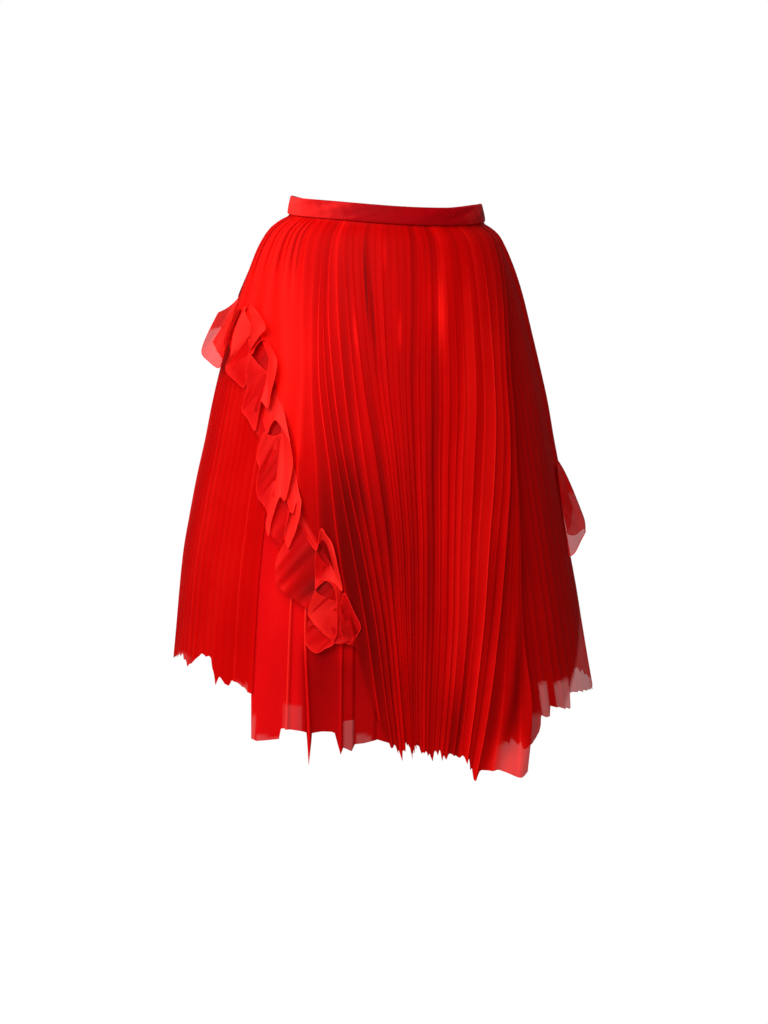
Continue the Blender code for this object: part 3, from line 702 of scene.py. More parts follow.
def linear(code):
    """sRGB hex to a linear colour."""
    rgb = [int(code[i:i + 2], 16) / 255.0 for i in (0, 2, 4)]
    rgb = [v / 12.92 if v <= 0.04045 else ((v + 0.055) / 1.055) ** 2.4 for v in rgb]
    return (*rgb, 1.0)


def node(owner, kind, inputs=None, **settings):
    """Add a node with its settings; an input is a value or another socket."""
    tree = owner.node_tree
    made = tree.nodes.new("ShaderNode" + kind)
    for name, value in settings.items():
        setattr(made, name, value)
    for name, value in (inputs or {}).items():
        if isinstance(value, bpy.types.NodeSocket):
            tree.links.new(value, made.inputs[name])
        else:
            made.inputs[name].default_value = value
    return made


def bare(owner):
    """The same material or world with an empty node tree."""
    owner.use_nodes = True
    owner.node_tree.nodes.clear()
    return owner


def cloth(name, valley, middle, ridge, roughness, thread_mm, relief,
          gloss=0.04, sheen=0.05, streak=0.05, glow=0.0):
    """A woven cloth. Its colour goes from valley to middle to ridge with the
    `tone` attribute, which carries painted light and shade as well as the
    cloth's own uneven colour; it is clouded by slow noise and streaked along
    the warp. Its weave is two crossed waves on the cloth's own map, thread_mm
    apart. Glow is the share of light that comes through the threads, and the
    `cover` attribute is the share that doesn't slip between them."""
    material = bare(bpy.data.materials.new(name))
    tone = node(material, "Attribute", attribute_name="tone")
    cover = node(material, "Attribute", attribute_name="cover")
    flat = node(material, "UVMap", uv_map="cloth")
    place = node(material, "TexCoord")
    cloud = node(material, "TexNoise", {
        "Vector": place.outputs["Object"], "Scale": CLOUDS_PER_M, "Detail": 3.0,
        "Roughness": 0.55})
    slub_map = node(material, "Mapping", {
        "Vector": flat.outputs["UV"], "Scale": (*SLUBS_PER_M, 1.0)})
    slub = node(material, "TexNoise", {
        "Vector": slub_map.outputs["Vector"], "Scale": 1.0, "Detail": 2.0})
    mixed = node(material, "Math", {
        0: cloud.outputs["Fac"], 1: CLOUD_TONE}, operation="MULTIPLY")
    mixed = node(material, "Math", {
        0: slub.outputs["Fac"], 1: SLUB_TONE + streak, 2: mixed.outputs[0]},
        operation="MULTIPLY_ADD")
    level = node(material, "Math", {
        0: tone.outputs["Fac"], 1: mixed.outputs[0]}, operation="ADD")
    level = node(material, "Math", {
        0: level.outputs[0], 1: 0.5 * (CLOUD_TONE + SLUB_TONE + streak)},
        operation="SUBTRACT")
    ramp = node(material, "ValToRGB", {"Fac": level.outputs[0]})
    ramp.color_ramp.elements[0].color = linear(valley)
    ramp.color_ramp.elements[1].color = linear(ridge)
    ramp.color_ramp.elements.new(0.5).color = linear(middle)
    threads_per_m = 1000.0 / thread_mm
    weave_map = node(material, "Mapping", {
        "Vector": flat.outputs["UV"], "Scale": (threads_per_m, threads_per_m, 1.0)})
    warp, weft = (
        node(material, "TexWave", {
            "Vector": weave_map.outputs["Vector"], "Scale": WAVE_UNIT, "Distortion": 0.6},
            bands_direction=way)
        for way in "XY")
    weave = node(material, "Math", {
        0: warp.outputs["Fac"], 1: weft.outputs["Fac"]}, operation="ADD")
    lift = node(material, "Bump", {
        "Height": weave.outputs[0], "Strength": relief, "Distance": THREAD_RELIEF})
    shader = node(material, "BsdfPrincipled", {
        "Base Color": ramp.outputs["Color"], "Roughness": roughness,
        "IOR": FIBRE_IOR, "Specular IOR Level": gloss,
        "Sheen Weight": sheen, "Sheen Roughness": 0.45,
        "Sheen Tint": linear("ff2810"), "Normal": lift.outputs["Normal"]})
    if glow > 0.0:
        through = node(material, "BsdfTranslucent", {"Color": ramp.outputs["Color"]})
        lit = node(material, "MixShader", {
            0: glow, 1: shader.outputs[0], 2: through.outputs[0]})
        gap = node(material, "BsdfTransparent")
        shader = node(material, "MixShader", {
            0: cover.outputs["Fac"], 1: gap.outputs[0], 2: lit.outputs[0]})
    node(material, "OutputMaterial", {"Surface": shader.outputs[0]})
    material.diffuse_color = linear(middle)
    return material


def make_materials():
    """Every finish of the skirt. Real threads lie 0.10 to 0.15 mm apart, too fine
    to show, so the weave is drawn coarser, at 0.45 to 0.90 mm."""
    return {
        # Polyester satin: dense, smooth floats with a faint gloss of their own; the soft
        # broad gloss is painted into the colour as highlights, brightest at the left.
        "satin_band": cloth("polyester_satin", "580002", "900006", "ff2c28",
                            0.50, 0.45, 0.12, gloss=0.03, sheen=0.0, streak=0.12),
        # Acetate lining: opaque, plain weave, a dull sheen that stays dark.
        "lining_cloth": cloth("acetate_lining", "780002", "980003", "b40406",
                              0.55, 0.60, 0.10, gloss=0.05),
        # Polyester chiffon, heat pleated: layers deepen its red, and each pleat's
        # crease shows as a fine bright line, partly the folded cloth and partly a
        # painted highlight, over painted shade in the valleys.
        "front_cloth": cloth("pleated_chiffon", "740000", "c00000", "ff140e",
                             0.60, 0.90, 0.10, glow=0.30),
        "overlay_cloth": cloth("pleated_chiffon_back", "800000", "c40000", "ff1c14",
                               0.60, 0.90, 0.10, glow=0.30),
        "under_cloth": cloth("pleated_chiffon_under", "800000", "c80000", "ff1c14",
                             0.60, 0.90, 0.10, glow=0.30),
        # Plain chiffon: the same cloth left flat, so more light comes through.
        "underlap_cloth": cloth("plain_chiffon", "980002", "e2060a", "ff2820",
                                0.60, 0.90, 0.10, glow=0.30),
        # Polyester organza: sheer and crisp, with a bright edge where it folds, a
        # painted highlight in its colour; its flutes carry painted light and shade.
        "ruffle_cloth": cloth("crisp_organza", "8c0000", "d40204", "ff2c24",
                              0.50, 0.80, 0.12, gloss=0.08, sheen=0.10, glow=0.35),
        # Polyester thread: rolled hems and gathering stitches, a denser red.
        "hem_thread": cloth("rolled_hem_thread", "a00000", "e81410", "ff4030",
                            0.55, 0.70, 0.10, gloss=0.10),
    }


# ------------------------------------------------------------------- meshes

def add_mesh(name, points, faces, tone, cover, uv, finish):
    """One smooth piece from points and faces, on the root body."""
    mesh = bpy.data.meshes.new(name)
    points = np.asarray(points, dtype=np.float32).reshape(-1, 3)
    faces = np.asarray(faces, dtype=np.int32)
    mesh.vertices.add(len(points))
    mesh.vertices.foreach_set("co", points.ravel())
    mesh.loops.add(faces.size)
    mesh.loops.foreach_set("vertex_index", faces.ravel())
    mesh.polygons.add(len(faces))
    first_corner = np.arange(len(faces), dtype=np.int32) * faces.shape[1]
    mesh.polygons.foreach_set("loop_start", first_corner)
    mesh.update(calc_edges=True)
    mesh.polygons.foreach_set("use_smooth", np.ones(len(faces), dtype=bool))
    uv = np.asarray(uv, dtype=np.float32).reshape(-1, 2)
    layer = mesh.uv_layers.new(name="cloth")
    layer.data.foreach_set("uv", uv[faces.ravel()].ravel())
    for kind, value in (("tone", tone), ("cover", cover)):
        values = np.empty(len(points), dtype=np.float32)
        values[:] = np.ravel(value)
        mesh.attributes.new(kind, "FLOAT", "POINT").data.foreach_set("value", values)
    mesh.validate()
    mesh.materials.append(MATERIALS[finish])
    item = bpy.data.objects.new(name, mesh)
    bpy.context.scene.collection.objects.link(item)
    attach(item, "root")
    return item


def sheet_faces(rows, cols):
    """Quads of a grid, rows running down and columns to the right."""
    r, c = np.meshgrid(np.arange(rows - 1), np.arange(cols - 1), indexing="ij")
    a = (r * cols + c).ravel()
    return np.stack([a, a + cols, a + cols + 1, a + 1], axis=1)


def cloth_map(grid):
    """Place on the flat cloth: run along each row, and run down the middle."""
    across = np.pad(np.cumsum(lengths(grid, 1), axis=1), ((0, 0), (1, 0)))
    down = np.pad(np.cumsum(lengths(grid, 0), axis=0), ((1, 0), (0, 0)))
    return np.stack([across, -down], axis=-1)


def add_sheet(name, grid, slot, tone, cover=1.0, split=None):
    """A single surface of cloth from a grid of points. With a split, the
    columns before it and from it on are two layers, joined at no face."""
    rows, cols = grid.shape[:2]
    faces = sheet_faces(rows, cols)
    if split:
        faces = faces[faces[:, 0] % cols != split - 1]
    return add_mesh(name, grid, faces, tone, cover, cloth_map(grid), slot)


def add_shell(name, inner, outer, slot, tone):
    """A closed wall between two grids of points, joined round their rim."""
    rows, cols = inner.shape[:2]
    count = rows * cols
    front = sheet_faces(rows, cols) + count
    back = sheet_faces(rows, cols)[:, ::-1]
    loop = np.concatenate([
        np.arange(cols), np.arange(1, rows) * cols + cols - 1,
        (rows - 1) * cols + np.arange(cols - 2, -1, -1),
        np.arange(rows - 2, 0, -1) * cols])
    after = np.roll(loop, -1)
    rim = np.stack([loop, loop + count, after + count, after], axis=1)
    faces = np.concatenate([front, back, rim])
    uv = np.stack([cloth_map(inner), cloth_map(outer)])
    points = np.stack([inner, outer])
    return add_mesh(name, points, faces, np.tile(np.ravel(tone), 2), 1.0, uv, slot)


def add_roll(name, path, tone, radius=ROLL_RADIUS):
    """A thin roll of the ruffle's cloth along a path: a circle carried along
    it, square to the path, narrowing to a point at both ends."""
    path = path[np.append(True, lengths(path) > 2e-5)]
    along = unit(np.gradient(path, axis=0))
    side = unit(np.cross(along, np.array([0.13, 0.31, 0.94])))
    up = np.cross(along, side)
    turn = np.linspace(0.0, 2.0 * math.pi, ROLL_SIDES, endpoint=False)[:, None]
    thick = np.full((len(path), 1, 1), radius)
    thick[[0, -1]] = radius * 0.05
    points = path[:, None] + thick * (np.cos(turn) * side[:, None] + np.sin(turn) * up[:, None])
    closed = np.concatenate([points, points[:, :1]], axis=1)
    r, c = np.meshgrid(np.arange(len(path) - 1), np.arange(ROLL_SIDES), indexing="ij")
    a = (r * ROLL_SIDES + c).ravel()
    b = (r * ROLL_SIDES + (c + 1) % ROLL_SIDES).ravel()
    faces = np.stack([a, b, b + ROLL_SIDES, a + ROLL_SIDES], axis=1)
    return add_mesh(name, points, faces, tone, 1.0,
                    cloth_map(closed)[:, :-1], "hem_thread")


def mesh_area(grid):
    """Area of a grid of points: two triangles for each quad."""
    a, b = grid[:-1, :-1], grid[1:, :-1]
    c, d = grid[1:, 1:], grid[:-1, 1:]
    one = np.linalg.norm(np.cross(b - a, c - a), axis=-1).sum()
    two = np.linalg.norm(np.cross(c - a, d - a), axis=-1).sum()
    return 0.5 * (one + two)


def declare(grid, held, second=None):
    """Work out the flat cut of a sheet, which is neither kept nor returned: the
    width of its middle row, unfolded, the length of its longest column and the
    area between. A ruffle is as wide as its free edge, in both layers, and as
    long as its columns are on average."""
    across, down = lengths(grid, 1).sum(axis=1), lengths(grid, 0).sum(axis=0)
    run, fall, area = across[len(grid) // 2], down.max(), mesh_area(grid)
    if held == "gathered":
        run, fall = across[-1], down.mean()
        if second is not None:
            run = run + lengths(second[-1]).sum()
            area = area + mesh_area(second)
        fall = min(fall, area / (LEAST_FILLED * run))


# ----------------------------------------------------------------- the band

def make_waistband():
    """The satin band: a strip carried round an ellipse, which laps over its own
    start at the side back. It is slightly crowned, two uneven waves draw soft
    drag lines in it, and both edges turn over in a quarter circle."""
    turn = np.linspace(0.0, 360.0 + BAND_LAP_DEG, 521)
    phi = np.radians(BAND_START_DEG + turn)
    lap = BAND_LAP_OUT * grow(turn, 360.0 - BAND_RAMP_DEG, BAND_RAMP_DEG)
    level = np.linspace(-1.0, 1.0, 25)[:, None]
    u = turn / DRAG_DEG
    pull = 0.00035 * drift(9.0 * u + 2.0 * level, 1.5 * level + 3.0 * u, 4)
    pull = pull + 0.00025 * drift(22.0 * u - 3.0 * level, 2.0 * level, 9)
    pull = pull * (1.0 - level ** 4)
    turned = np.clip((np.abs(level) - BAND_EDGE_FROM) / (1.0 - BAND_EDGE_FROM), 0.0, 1.0)
    edge = BAND_EDGE_ROUND * (1.0 - np.sqrt(1.0 - turned ** 2))
    seam = BAND_RELIEF * bump(np.abs(level), 0.84, 0.05)
    out = BAND_RELIEF * (1.0 - level ** 2) + pull - edge - seam + lap
    taper = -BAND_TAPER * 0.5 * (1.0 - level)

    def skin(distance):
        x, y = section_point(phi, BAND_HALF_WIDTH, BAND_HALF_DEPTH, distance + taper)
        z = rise_of_waist(phi, 0.0) - level * BAND_HALF_HEIGHT
        return np.stack([x, y, z], axis=-1)

    # The drag lines are shaded in paint as well: painted light where they stand out, painted
    # shade where they sink.
    tone = 0.40 + 0.08 * drift(4.0 * u, 2.0 * level + u, 6) + 120.0 * pull
    # Painted highlights of the satin's sheen, brightest at the left side.
    tone = tone + bumps(around(np.degrees(phi)), BAND_PAINTED_SHEEN)
    item = add_shell("satin_waistband", skin(lap - BAND_WALL + edge), skin(out),
                     "satin_band", tone)
    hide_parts("waistband")


# ----------------------------------------------------------- under layers

def make_lining(name, node_name, start_deg, end_deg):
    """One half of the slip that lies inside: a closed thin wall, flared, with
    broad soft waves inward that die out upward."""
    phi = even_angles(start_deg, end_deg, 90, EVEN_AT_DROP, np.arange(91))
    hem = read(LINING_HEM, 1, around(np.degrees(phi)))
    drop = down_to(hem, TUCK_DROP, rows=90)
    wave = -LINING_WAVE * grow(drop, 0.25, 0.35) * waver(phi * 7.0, drop * 9.0, 12)
    item = add_shell(name, form_point(phi, drop, wave - LINING_WALL),
                     form_point(phi, drop, wave), "lining_cloth",
                     0.5 + 0.08 * drift(phi * 5.0, drop * 12.0, 3))
    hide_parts(node_name)


def pleat_profile(number):
    """Height of even pleats: from each ridge down at once to its valley, then
    in a soft curve up to the next ridge."""
    t = number - np.floor(number)
    climb = (np.clip(t - VALLEY, 0.0, 1.0) / (1.0 - VALLEY)) ** 1.25
    return np.where(t < VALLEY, 1.0 - ease(t / VALLEY), climb)


def pleat_columns(count):
    """Column numbers, ten to a pleat, closer together beside each ridge."""
    t = np.linspace(0.0, 1.0, 10, endpoint=False)
    t = t - 0.10 * np.sin(2.0 * math.pi * t)
    return np.append((np.arange(count)[:, None] + t).ravel(), float(count))


def uneven(number, pleats, least, rng):
    """Share of the full depth that each pleat has, drawn at random."""
    return np.interp(number, np.arange(pleats + 1) + 0.5,
                     rng.uniform(least, 1.15, pleats + 1))


def painted_crease_shading(height):
    """Painted shading of a pleat by height: shaded valley, highlit thin ridge."""
    crease = np.clip((height - CREASE_FROM) / (1.0 - CREASE_FROM), 0.0, 1.0)
    return VALLEY_TONE + FACE_TONE * height + CREASE_HIGHLIGHT_TONE * crease ** 1.5


def pale(table, deg, drop):
    """Share of light stopped where only one or two layers hang."""
    cover = np.ones_like(drop)
    for start, stop, soft, level, bottom, share, lean in table:
        spread = lean * np.maximum(drop - level, 0.0)
        inside = ease((deg - start + spread) / soft) * ease((stop + spread - deg) / soft)
        inside = inside * grow(drop, level, 0.004) * ease((bottom - drop) / 0.012)
        cover = np.minimum(cover, 1.0 - (1.0 - share) * inside)
    return cover


def make_gore(name, node_name, start_deg, end_deg, pleats):
    """One sheer pleated gore of the under skirt: even pleats, nudged to uneven
    widths and depths, which sway on their way down to a hem cut in steps."""
    number = pleat_columns(pleats)
    rng = np.random.default_rng(int(start_deg))
    nudge = np.interp(number, np.arange(pleats + 1), rng.uniform(-0.18, 0.18, pleats + 1))
    nudge = nudge * np.sin(math.pi * number / pleats) ** 0.3
    phi = even_angles(start_deg, end_deg, pleats, EVEN_AT_DROP, number + nudge)
    height = pleat_profile(number) * uneven(number, pleats, 0.55, rng)
    deg = np.degrees(phi)
    ragged = 0.6 + 0.4 * np.sin(np.floor(number) * 2.3 + start_deg)
    zig = ragged * read_straight(UNDER_HEM, 2, deg) * (2.0 * pleat_profile(number) - 1.0)
    drop = down_to(read_straight(UNDER_HEM, 1, deg) + HEM_ZIGZAG * zig, TUCK_DROP, rows=96)
    sway = GORE_SWAY * grow(drop, 0.2, 0.4) * drift(phi * 4.0, drop * 7.0, 21)
    last = number > pleats - 0.01
    turn = phi + sway * ease(np.minimum(number, pleats - number) / 2.0)
    turn = turn + np.radians(SEAM_LAP_DEG) * last
    out = under_inner(drop) + 0.5 * UNDER_WALL - SEAM_TUCK * last
    out = out + read(LAYERS, 2, drop) * pleat_out(height)
    out = out + GORE_SWELL * waver(phi * 6.0, drop * 5.0, 8) * grow(drop, 0.3, 0.3)
    grid = form_point(turn, drop, out)
    cover = pale(UNDER_PALE, around(np.degrees(turn)), drop)
    tone = painted_crease_shading(height) + 0.06 * drift(phi * 9.0, drop * 9.0, 5)
    # Painted shade on the right side, away from the light, and painted light on the left; also
    # painted light where fewer layers let light through.
    tone = tone + bumps(deg, GORE_PAINTED_SHADING) + THROUGH_LIGHT_TONE * (1.0 - cover)
    item = add_sheet(name, grid, "under_cloth", tone, cover)
    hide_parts(node_name)
    declare(grid, "hung")


def make_underlap():
    """The flat sheer panel at the lower left of the front: ironed folds whose
    height is read from the table, and a thin pleat that leans and hangs below
    the hem. Both side edges are tucked in."""
    deg = np.append(np.linspace(-39.5, 13.0, 210), column(UNDERLAP, 0))
    deg = np.unique(np.round(deg, 3))
    share = read(UNDERLAP, 2, deg)
    drop = down_to(read_straight(UNDERLAP, 1, deg), TUCK_DROP, rows=110)
    phi = np.radians(deg)
    lean = np.radians(THIN_PLEAT_LEAN_DEG) * bump(deg, THIN_PLEAT_DEG, 3.0)
    lean = lean * (1.0 - grow(drop, 0.50, 0.18))
    sway = UNDERLAP_SWAY * grow(drop, 0.35, 0.25) * drift(phi * 12.0, drop * 8.0, 14)
    sway = sway * np.sin(math.pi * (deg - UNDERLAP_FROM) / (UNDERLAP_TO - UNDERLAP_FROM))
    fold = np.minimum(share * (0.55 + 0.60 * grow(drop, 0.35, 0.2)), 1.3)
    outside = np.maximum(UNDERLAP_FROM - deg, deg - UNDERLAP_TO)
    out = under_inner(drop) + 0.5 * UNDER_WALL - SEAM_TUCK * ease(outside / SEAM_LAP_DEG)
    out = out + read(LAYERS, 2, drop) * fold
    out = out + UNDERLAP_SWELL * waver(phi * 10.0, drop * 10.0, 17)
    grid = form_point(phi + lean + sway, drop, out)
    # Painted light and shade: lighter on the deepest folds low down, partly the folded cloth and
    # partly a painted highlight, and painted shade low at the right, below the ruffle's tail
    # beside the front panel's edge.
    tone = 0.45 + 0.50 * np.clip((share - 0.75) / 0.4, 0.0, 1.0) * grow(drop, 0.4, 0.08)
    tone = tone - 0.38 * grow(deg, -25.0, 5.0) * grow(drop, 0.50, 0.06)
    tone = tone + 0.10 * drift(phi * 14.0, drop * 8.0, 15)
    item = add_sheet("plain_under_panel", grid, "underlap_cloth", tone,
                     pale(UNDERLAP_PALE, deg, drop))
    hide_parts("underlap_panel")
    declare(grid, "hung")


# ------------------------------------------------------------ outer panels

def front_angle(number, drop):
    """Angle of a front pleat line at a drop, in radians: the lines of FRONT_PHI
    are read at the drop, and a curve across them at the pleat number."""
    number, drop = np.broadcast_arrays(number, drop)
    flat = drop.ravel()
    lines = np.stack([read(FRONT_PHI, i + 1, flat) for i in range(len(FRONT_LINES))], axis=1)
    deg = smooth_rows(np.array(FRONT_LINES), lines, number.ravel())
    return np.radians(deg).reshape(drop.shape)


def front_ends(number):
    """Drop at which each pleat line meets the slanted seam, or the hem."""
    hem = read(FRONT_HEM, 1, number)
    drops = np.linspace(FRONT_SEAM[0][0], FRONT_SEAM[-1][0], 500)
    line = np.degrees(front_angle(number, drops[:, None]))
    over = line - read(FRONT_SEAM, 1, drops)[:, None]
    under = over <= 0.0
    first = np.argmax(under, axis=0)
    before = np.maximum(first - 1, 0)
    cols = np.arange(len(number))
    a, b = over[before, cols], over[first, cols]
    share = np.where(first > 0, a / np.where(a - b == 0.0, 1.0, a - b), 0.0)
    cross = drops[before] + share * (drops[1] - drops[0])
    return np.where(under.any(axis=0), np.minimum(cross, hem), hem)


def front_numbers():
    """Column numbers of the front panel: even at the hip, then packed closer
    beside each ridge."""
    hip = np.linspace(FRONT_LINES[0], PLEATS_FROM, 76)[:-1]
    ridge = np.concatenate([[PLEATS_FROM], column(FRONT_RIDGES, 0), [FRONT_LINES[-1]]])
    start, stop = ridge[:-1, None], ridge[1:, None]
    between = (start + (stop - start) * np.array(BETWEEN_RIDGES)).ravel()
    return np.concatenate([hip, between, ridge[-1:]])


def front_heights(number):
    """Height of the front pleats, 0 in a valley and 1 on a full ridge: from
    each ridge down at once to its valley, then in a curve up to the next. Also
    how near each column is to a ridge, on either side of it."""
    ridge = np.concatenate([[PLEATS_FROM], column(FRONT_RIDGES, 0), [PAST_LAST_RIDGE]])
    weight = np.concatenate([[0.0], column(FRONT_RIDGES, 1), [0.4]])
    i, _, t = stretch(ridge, number)
    fall = weight[i] * (1.0 - ease(t / VALLEY))
    climb = weight[i + 1] * (np.clip(t - VALLEY, 0.0, 1.0) / (1.0 - VALLEY)) ** 1.3
    height = np.where(t < VALLEY, fall, climb)
    near = np.maximum(np.clip(1.0 - t / 0.07, 0.0, 1.0) * weight[i],
                      np.clip(1.0 - (1.0 - t) / 0.09, 0.0, 1.0) * weight[i + 1])
    hip = number < PLEATS_FROM
    return np.where(hip, 0.0, height), np.where(hip, 0.0, near)


def front_points(number, height):
    """Step of the hem at each column: a point at each ridge, set unevenly by
    slow waves and by chance, and calmer at the loose corner."""
    rng = np.random.default_rng(7)
    jag = np.interp(number, np.arange(-6, 31), rng.uniform(-HEM_JAG, HEM_JAG, 37))
    broad = 0.0035 * np.sin(number * 1.15 + 0.6) + 0.0025 * np.sin(number * 2.35)
    tall = 0.0070 + 0.0050 * np.sin(number * 0.9 + 2.0)
    zig = tall * np.minimum(height, 1.0) - 0.0040 + jag + broad
    return zig * grow(number, 3.8, 1.2) * (1.0 - 0.6 * grow(number, CORNER_FROM, 0.6))


def hip_folds(number, drop):
    """Height and painted shading of the soft folds at the hip: bells across, wider
    and lower on their way down, each with a painted highlight on it and a line
    of painted shade beside its top."""
    height, tone = np.zeros_like(drop), np.zeros_like(drop)
    for top, low, width, tall, length in HIP_FOLDS:
        middle = top + (low - top) * ease(drop / length)
        fold = bump(number, middle, width * (1.0 + 1.5 * np.clip(drop / length, 0.0, 1.5)))
        fade = grow(drop, 0.010, 0.012) * (1.0 - grow(drop, 0.45 * length, 0.75 * length))
        beside = bump(number, middle + 1.3 * width, 0.5 * width) * (1.0 - grow(drop, 0.05, 0.05))
        height = height + tall * fold * fade
        tone = tone + (0.30 * fold ** 2 - 0.34 * beside) * fade
    return height, tone


def face_steps(number):
    """A step in tone for each pleat face, softened at its two creases."""
    ridge = np.concatenate([FRONT_LINES[:1], column(FRONT_RIDGES, 0), [PAST_LAST_RIDGE]])
    step = np.random.default_rng(61).uniform(-0.15, 0.15, len(ridge))
    i, _, t = stretch(ridge, number)
    return step[i] + (step[i + 1] - step[i]) * grow(t, 0.82, 0.18)


def front_tone(number, drop, height, near):
    """Tone of the front panel: painted highlights on the thin creases over
    painted shade in the valleys, a step for each face, slow clouds along and
    across the pleats, and the broad painted light and shade of the table."""
    pleats = grow(drop, 0.03, 0.12)
    tone = VALLEY_TONE + FACE_TONE * np.minimum(height, 1.0) * pleats
    crisp = 0.20 + bumps(number, BRIGHTEST_CREASE_HIGHLIGHTS)
    tone = tone + crisp * near * (0.25 + 0.75 * pleats)
    tone = tone + 0.09 * drift(number * 1.3, drop * 11.0, 33)
    tone = tone + 0.12 * drift(number * 2.9, drop * 3.0, 37) * grow(number, -1.0, 2.0)
    for middle, half_width, level, half_height, step in FRONT_PAINTED_SHADING:
        tone = tone + step * bump(number, middle, half_width) * bump(drop, level, half_height)
    faces = 1.4 * face_steps(number) * grow(number, -0.5, 1.5)
    return tone + faces * waver(number * 0.7, drop * 5.0, 53)


def make_front_panel():
    """The outer wrap panel: a height for each pleat on the lines of FRONT_PHI,
    fainter at the upper right, with soft folds at the hip and broad rolls lower
    down, cut on the slant at its left, and one loose corner that waves. What it
    gives back is the slanted edge, to which the ruffle is gathered."""
    number = front_numbers()
    height, near = front_heights(number)
    ends = front_ends(number) + front_points(number, height)
    drop = down_to(ends, OVER_TOP_DROP, rows=150)
    phi = front_angle(number, drop)
    faint = FAINT_SHARE * (1.0 - grow(drop, 0.10, 0.22)) * grow(number, 11.0, 3.0)
    share = pleat_out(height, grow(number, PLEATS_FROM, 1.5))
    share = share - faint * PLEAT_SHARE * (height - 0.5)
    fold, fold_shading = hip_folds(number, drop)
    out = over_inner(drop) + 0.5 * OVER_WALL + read(LAYERS, 4, drop) * share + fold
    out = out + bumps(number, FRONT_ROLLS) * grow(drop, 0.30, 0.25)
    out = out + FRONT_SWELL * waver(number * 0.9, drop * 6.0, 31) * grow(drop, 0.1, 0.2)
    corner = grow(number, CORNER_FROM, 0.8) * grow(drop, 0.46, 0.16)
    out = out + CORNER_OFF * corner * (1.0 + np.sin(number * 5.2 + drop * 24.0))
    grid = form_point(phi, drop, out)
    low = ease((drop - 0.655 + 0.012 * (number - 29.0)) / 0.008)
    cover = 1.0 - (1.0 - CORNER_COVER) * grow(number, 28.7, 0.5) * low
    tone = front_tone(number, drop, height, near) + fold_shading
    item = add_sheet("front_pleated_panel", grid, "front_cloth", tone, cover)
    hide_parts("front_wrap_panel")
    declare(grid, "hung")
    slant = (ends <= RUFFLE_FRONT_END_DROP) & (number < 4.0)
    last = np.nonzero(slant)[0][-1] + 1
    return phi[-1, :last], ends[:last]


def make_back_overlay():
    """The outer pleated panel on round the back: even pleats of uneven depth,
    its front edge pressed into the pleats of the under skirt. What it gives
    back is its lower edge, to which the ruffle is gathered."""
    number = pleat_columns(BACK_PLEATS)
    end_deg = 360.0 + BACK_SEAM_DEG - 0.2
    phi = even_angles(BACK_END_DEG, end_deg, BACK_PLEATS, 0.2, number)
    deg = np.degrees(phi)
    height = pleat_profile(number) * uneven(number, BACK_PLEATS, 0.6, np.random.default_rng(11))
    hem = read(BACK_EDGE, 1, deg)
    drop = down_to(hem, OVER_TOP_DROP, rows=70)
    out = over_inner(drop) + 0.5 * OVER_WALL + read(LAYERS, 4, drop) * pleat_out(height)
    pressed = 1.0 - grow(deg, BACK_END_DEG, PRESSED_DEG)
    out = out + pressed * (under_outer(drop) - PRESSED_BY - out)
    grid = form_point(phi, drop, out)
    tone = painted_crease_shading(height) + 0.06 * drift(phi * 9.0, drop * 9.0, 6)
    item = add_sheet("back_pleated_panel", grid, "overlay_cloth", tone)
    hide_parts("back_overlay_panel")
    declare(grid, "hung")
    return phi, hem


# ---------------------------------------------------------------- ruffles

def seen(right, below, out):
    """Point that the camera sees at a place of the picture, in mm right of and
    below its middle, and mm outside the front panel's inner skin: the ray's run
    is mended until both agree. Past the outline it lies level with the skirt's
    side."""
    right, below, out = right / 1e3, below / 1e3, out / 1e3
    tilt = math.radians(PITCH_DEG)
    ahead = np.array([0.0, math.cos(tilt), -math.sin(tilt)])
    up = np.array([0.0, math.sin(tilt), math.cos(tilt)])
    way = ahead + (right[:, None] * np.array([1.0, 0.0, 0.0]) - below[:, None] * up) / FULL_SIZE
    run = np.full(len(right), 2.8)
    for _ in range(12):
        point = np.array(EYE) + run[:, None] * way
        drop = -point[:, 2]
        off = over_inner(drop) + OVER_WALL + out
        half_x = np.where(point[:, 0] < 0.0, read(FORM, 1, drop), read(FORM, 2, drop))
        side = np.clip(point[:, 0] / (half_x + off), -0.975, 0.975)
        level = -(read(FORM, 3, drop) + off) * np.sqrt(1.0 - side ** 2)
        run = (level - EYE[1]) / way[:, 1]
    return np.array(EYE) + run[:, None] * way


def through(points, steps):
    """Curve through points: on each stretch the Catmull-Rom cubic, whose slope
    at a point is half the way from the point before to the point after."""
    padded = np.concatenate([2 * points[:1] - points[1:2], points,
                             2 * points[-1:] - points[-2:-1]])
    t = np.linspace(0.0, 1.0, steps, endpoint=False)[None, :, None]
    a, b, c, d = (padded[i:len(padded) - 3 + i, None] for i in range(4))
    curve = 0.5 * (2 * b + (c - a) * t + (2 * a - 5 * b + 4 * c - d) * t ** 2
                   + (3 * b - a - 3 * c + d) * t ** 3)
    return np.concatenate([curve.reshape(-1, points.shape[1]), points[-1:]])


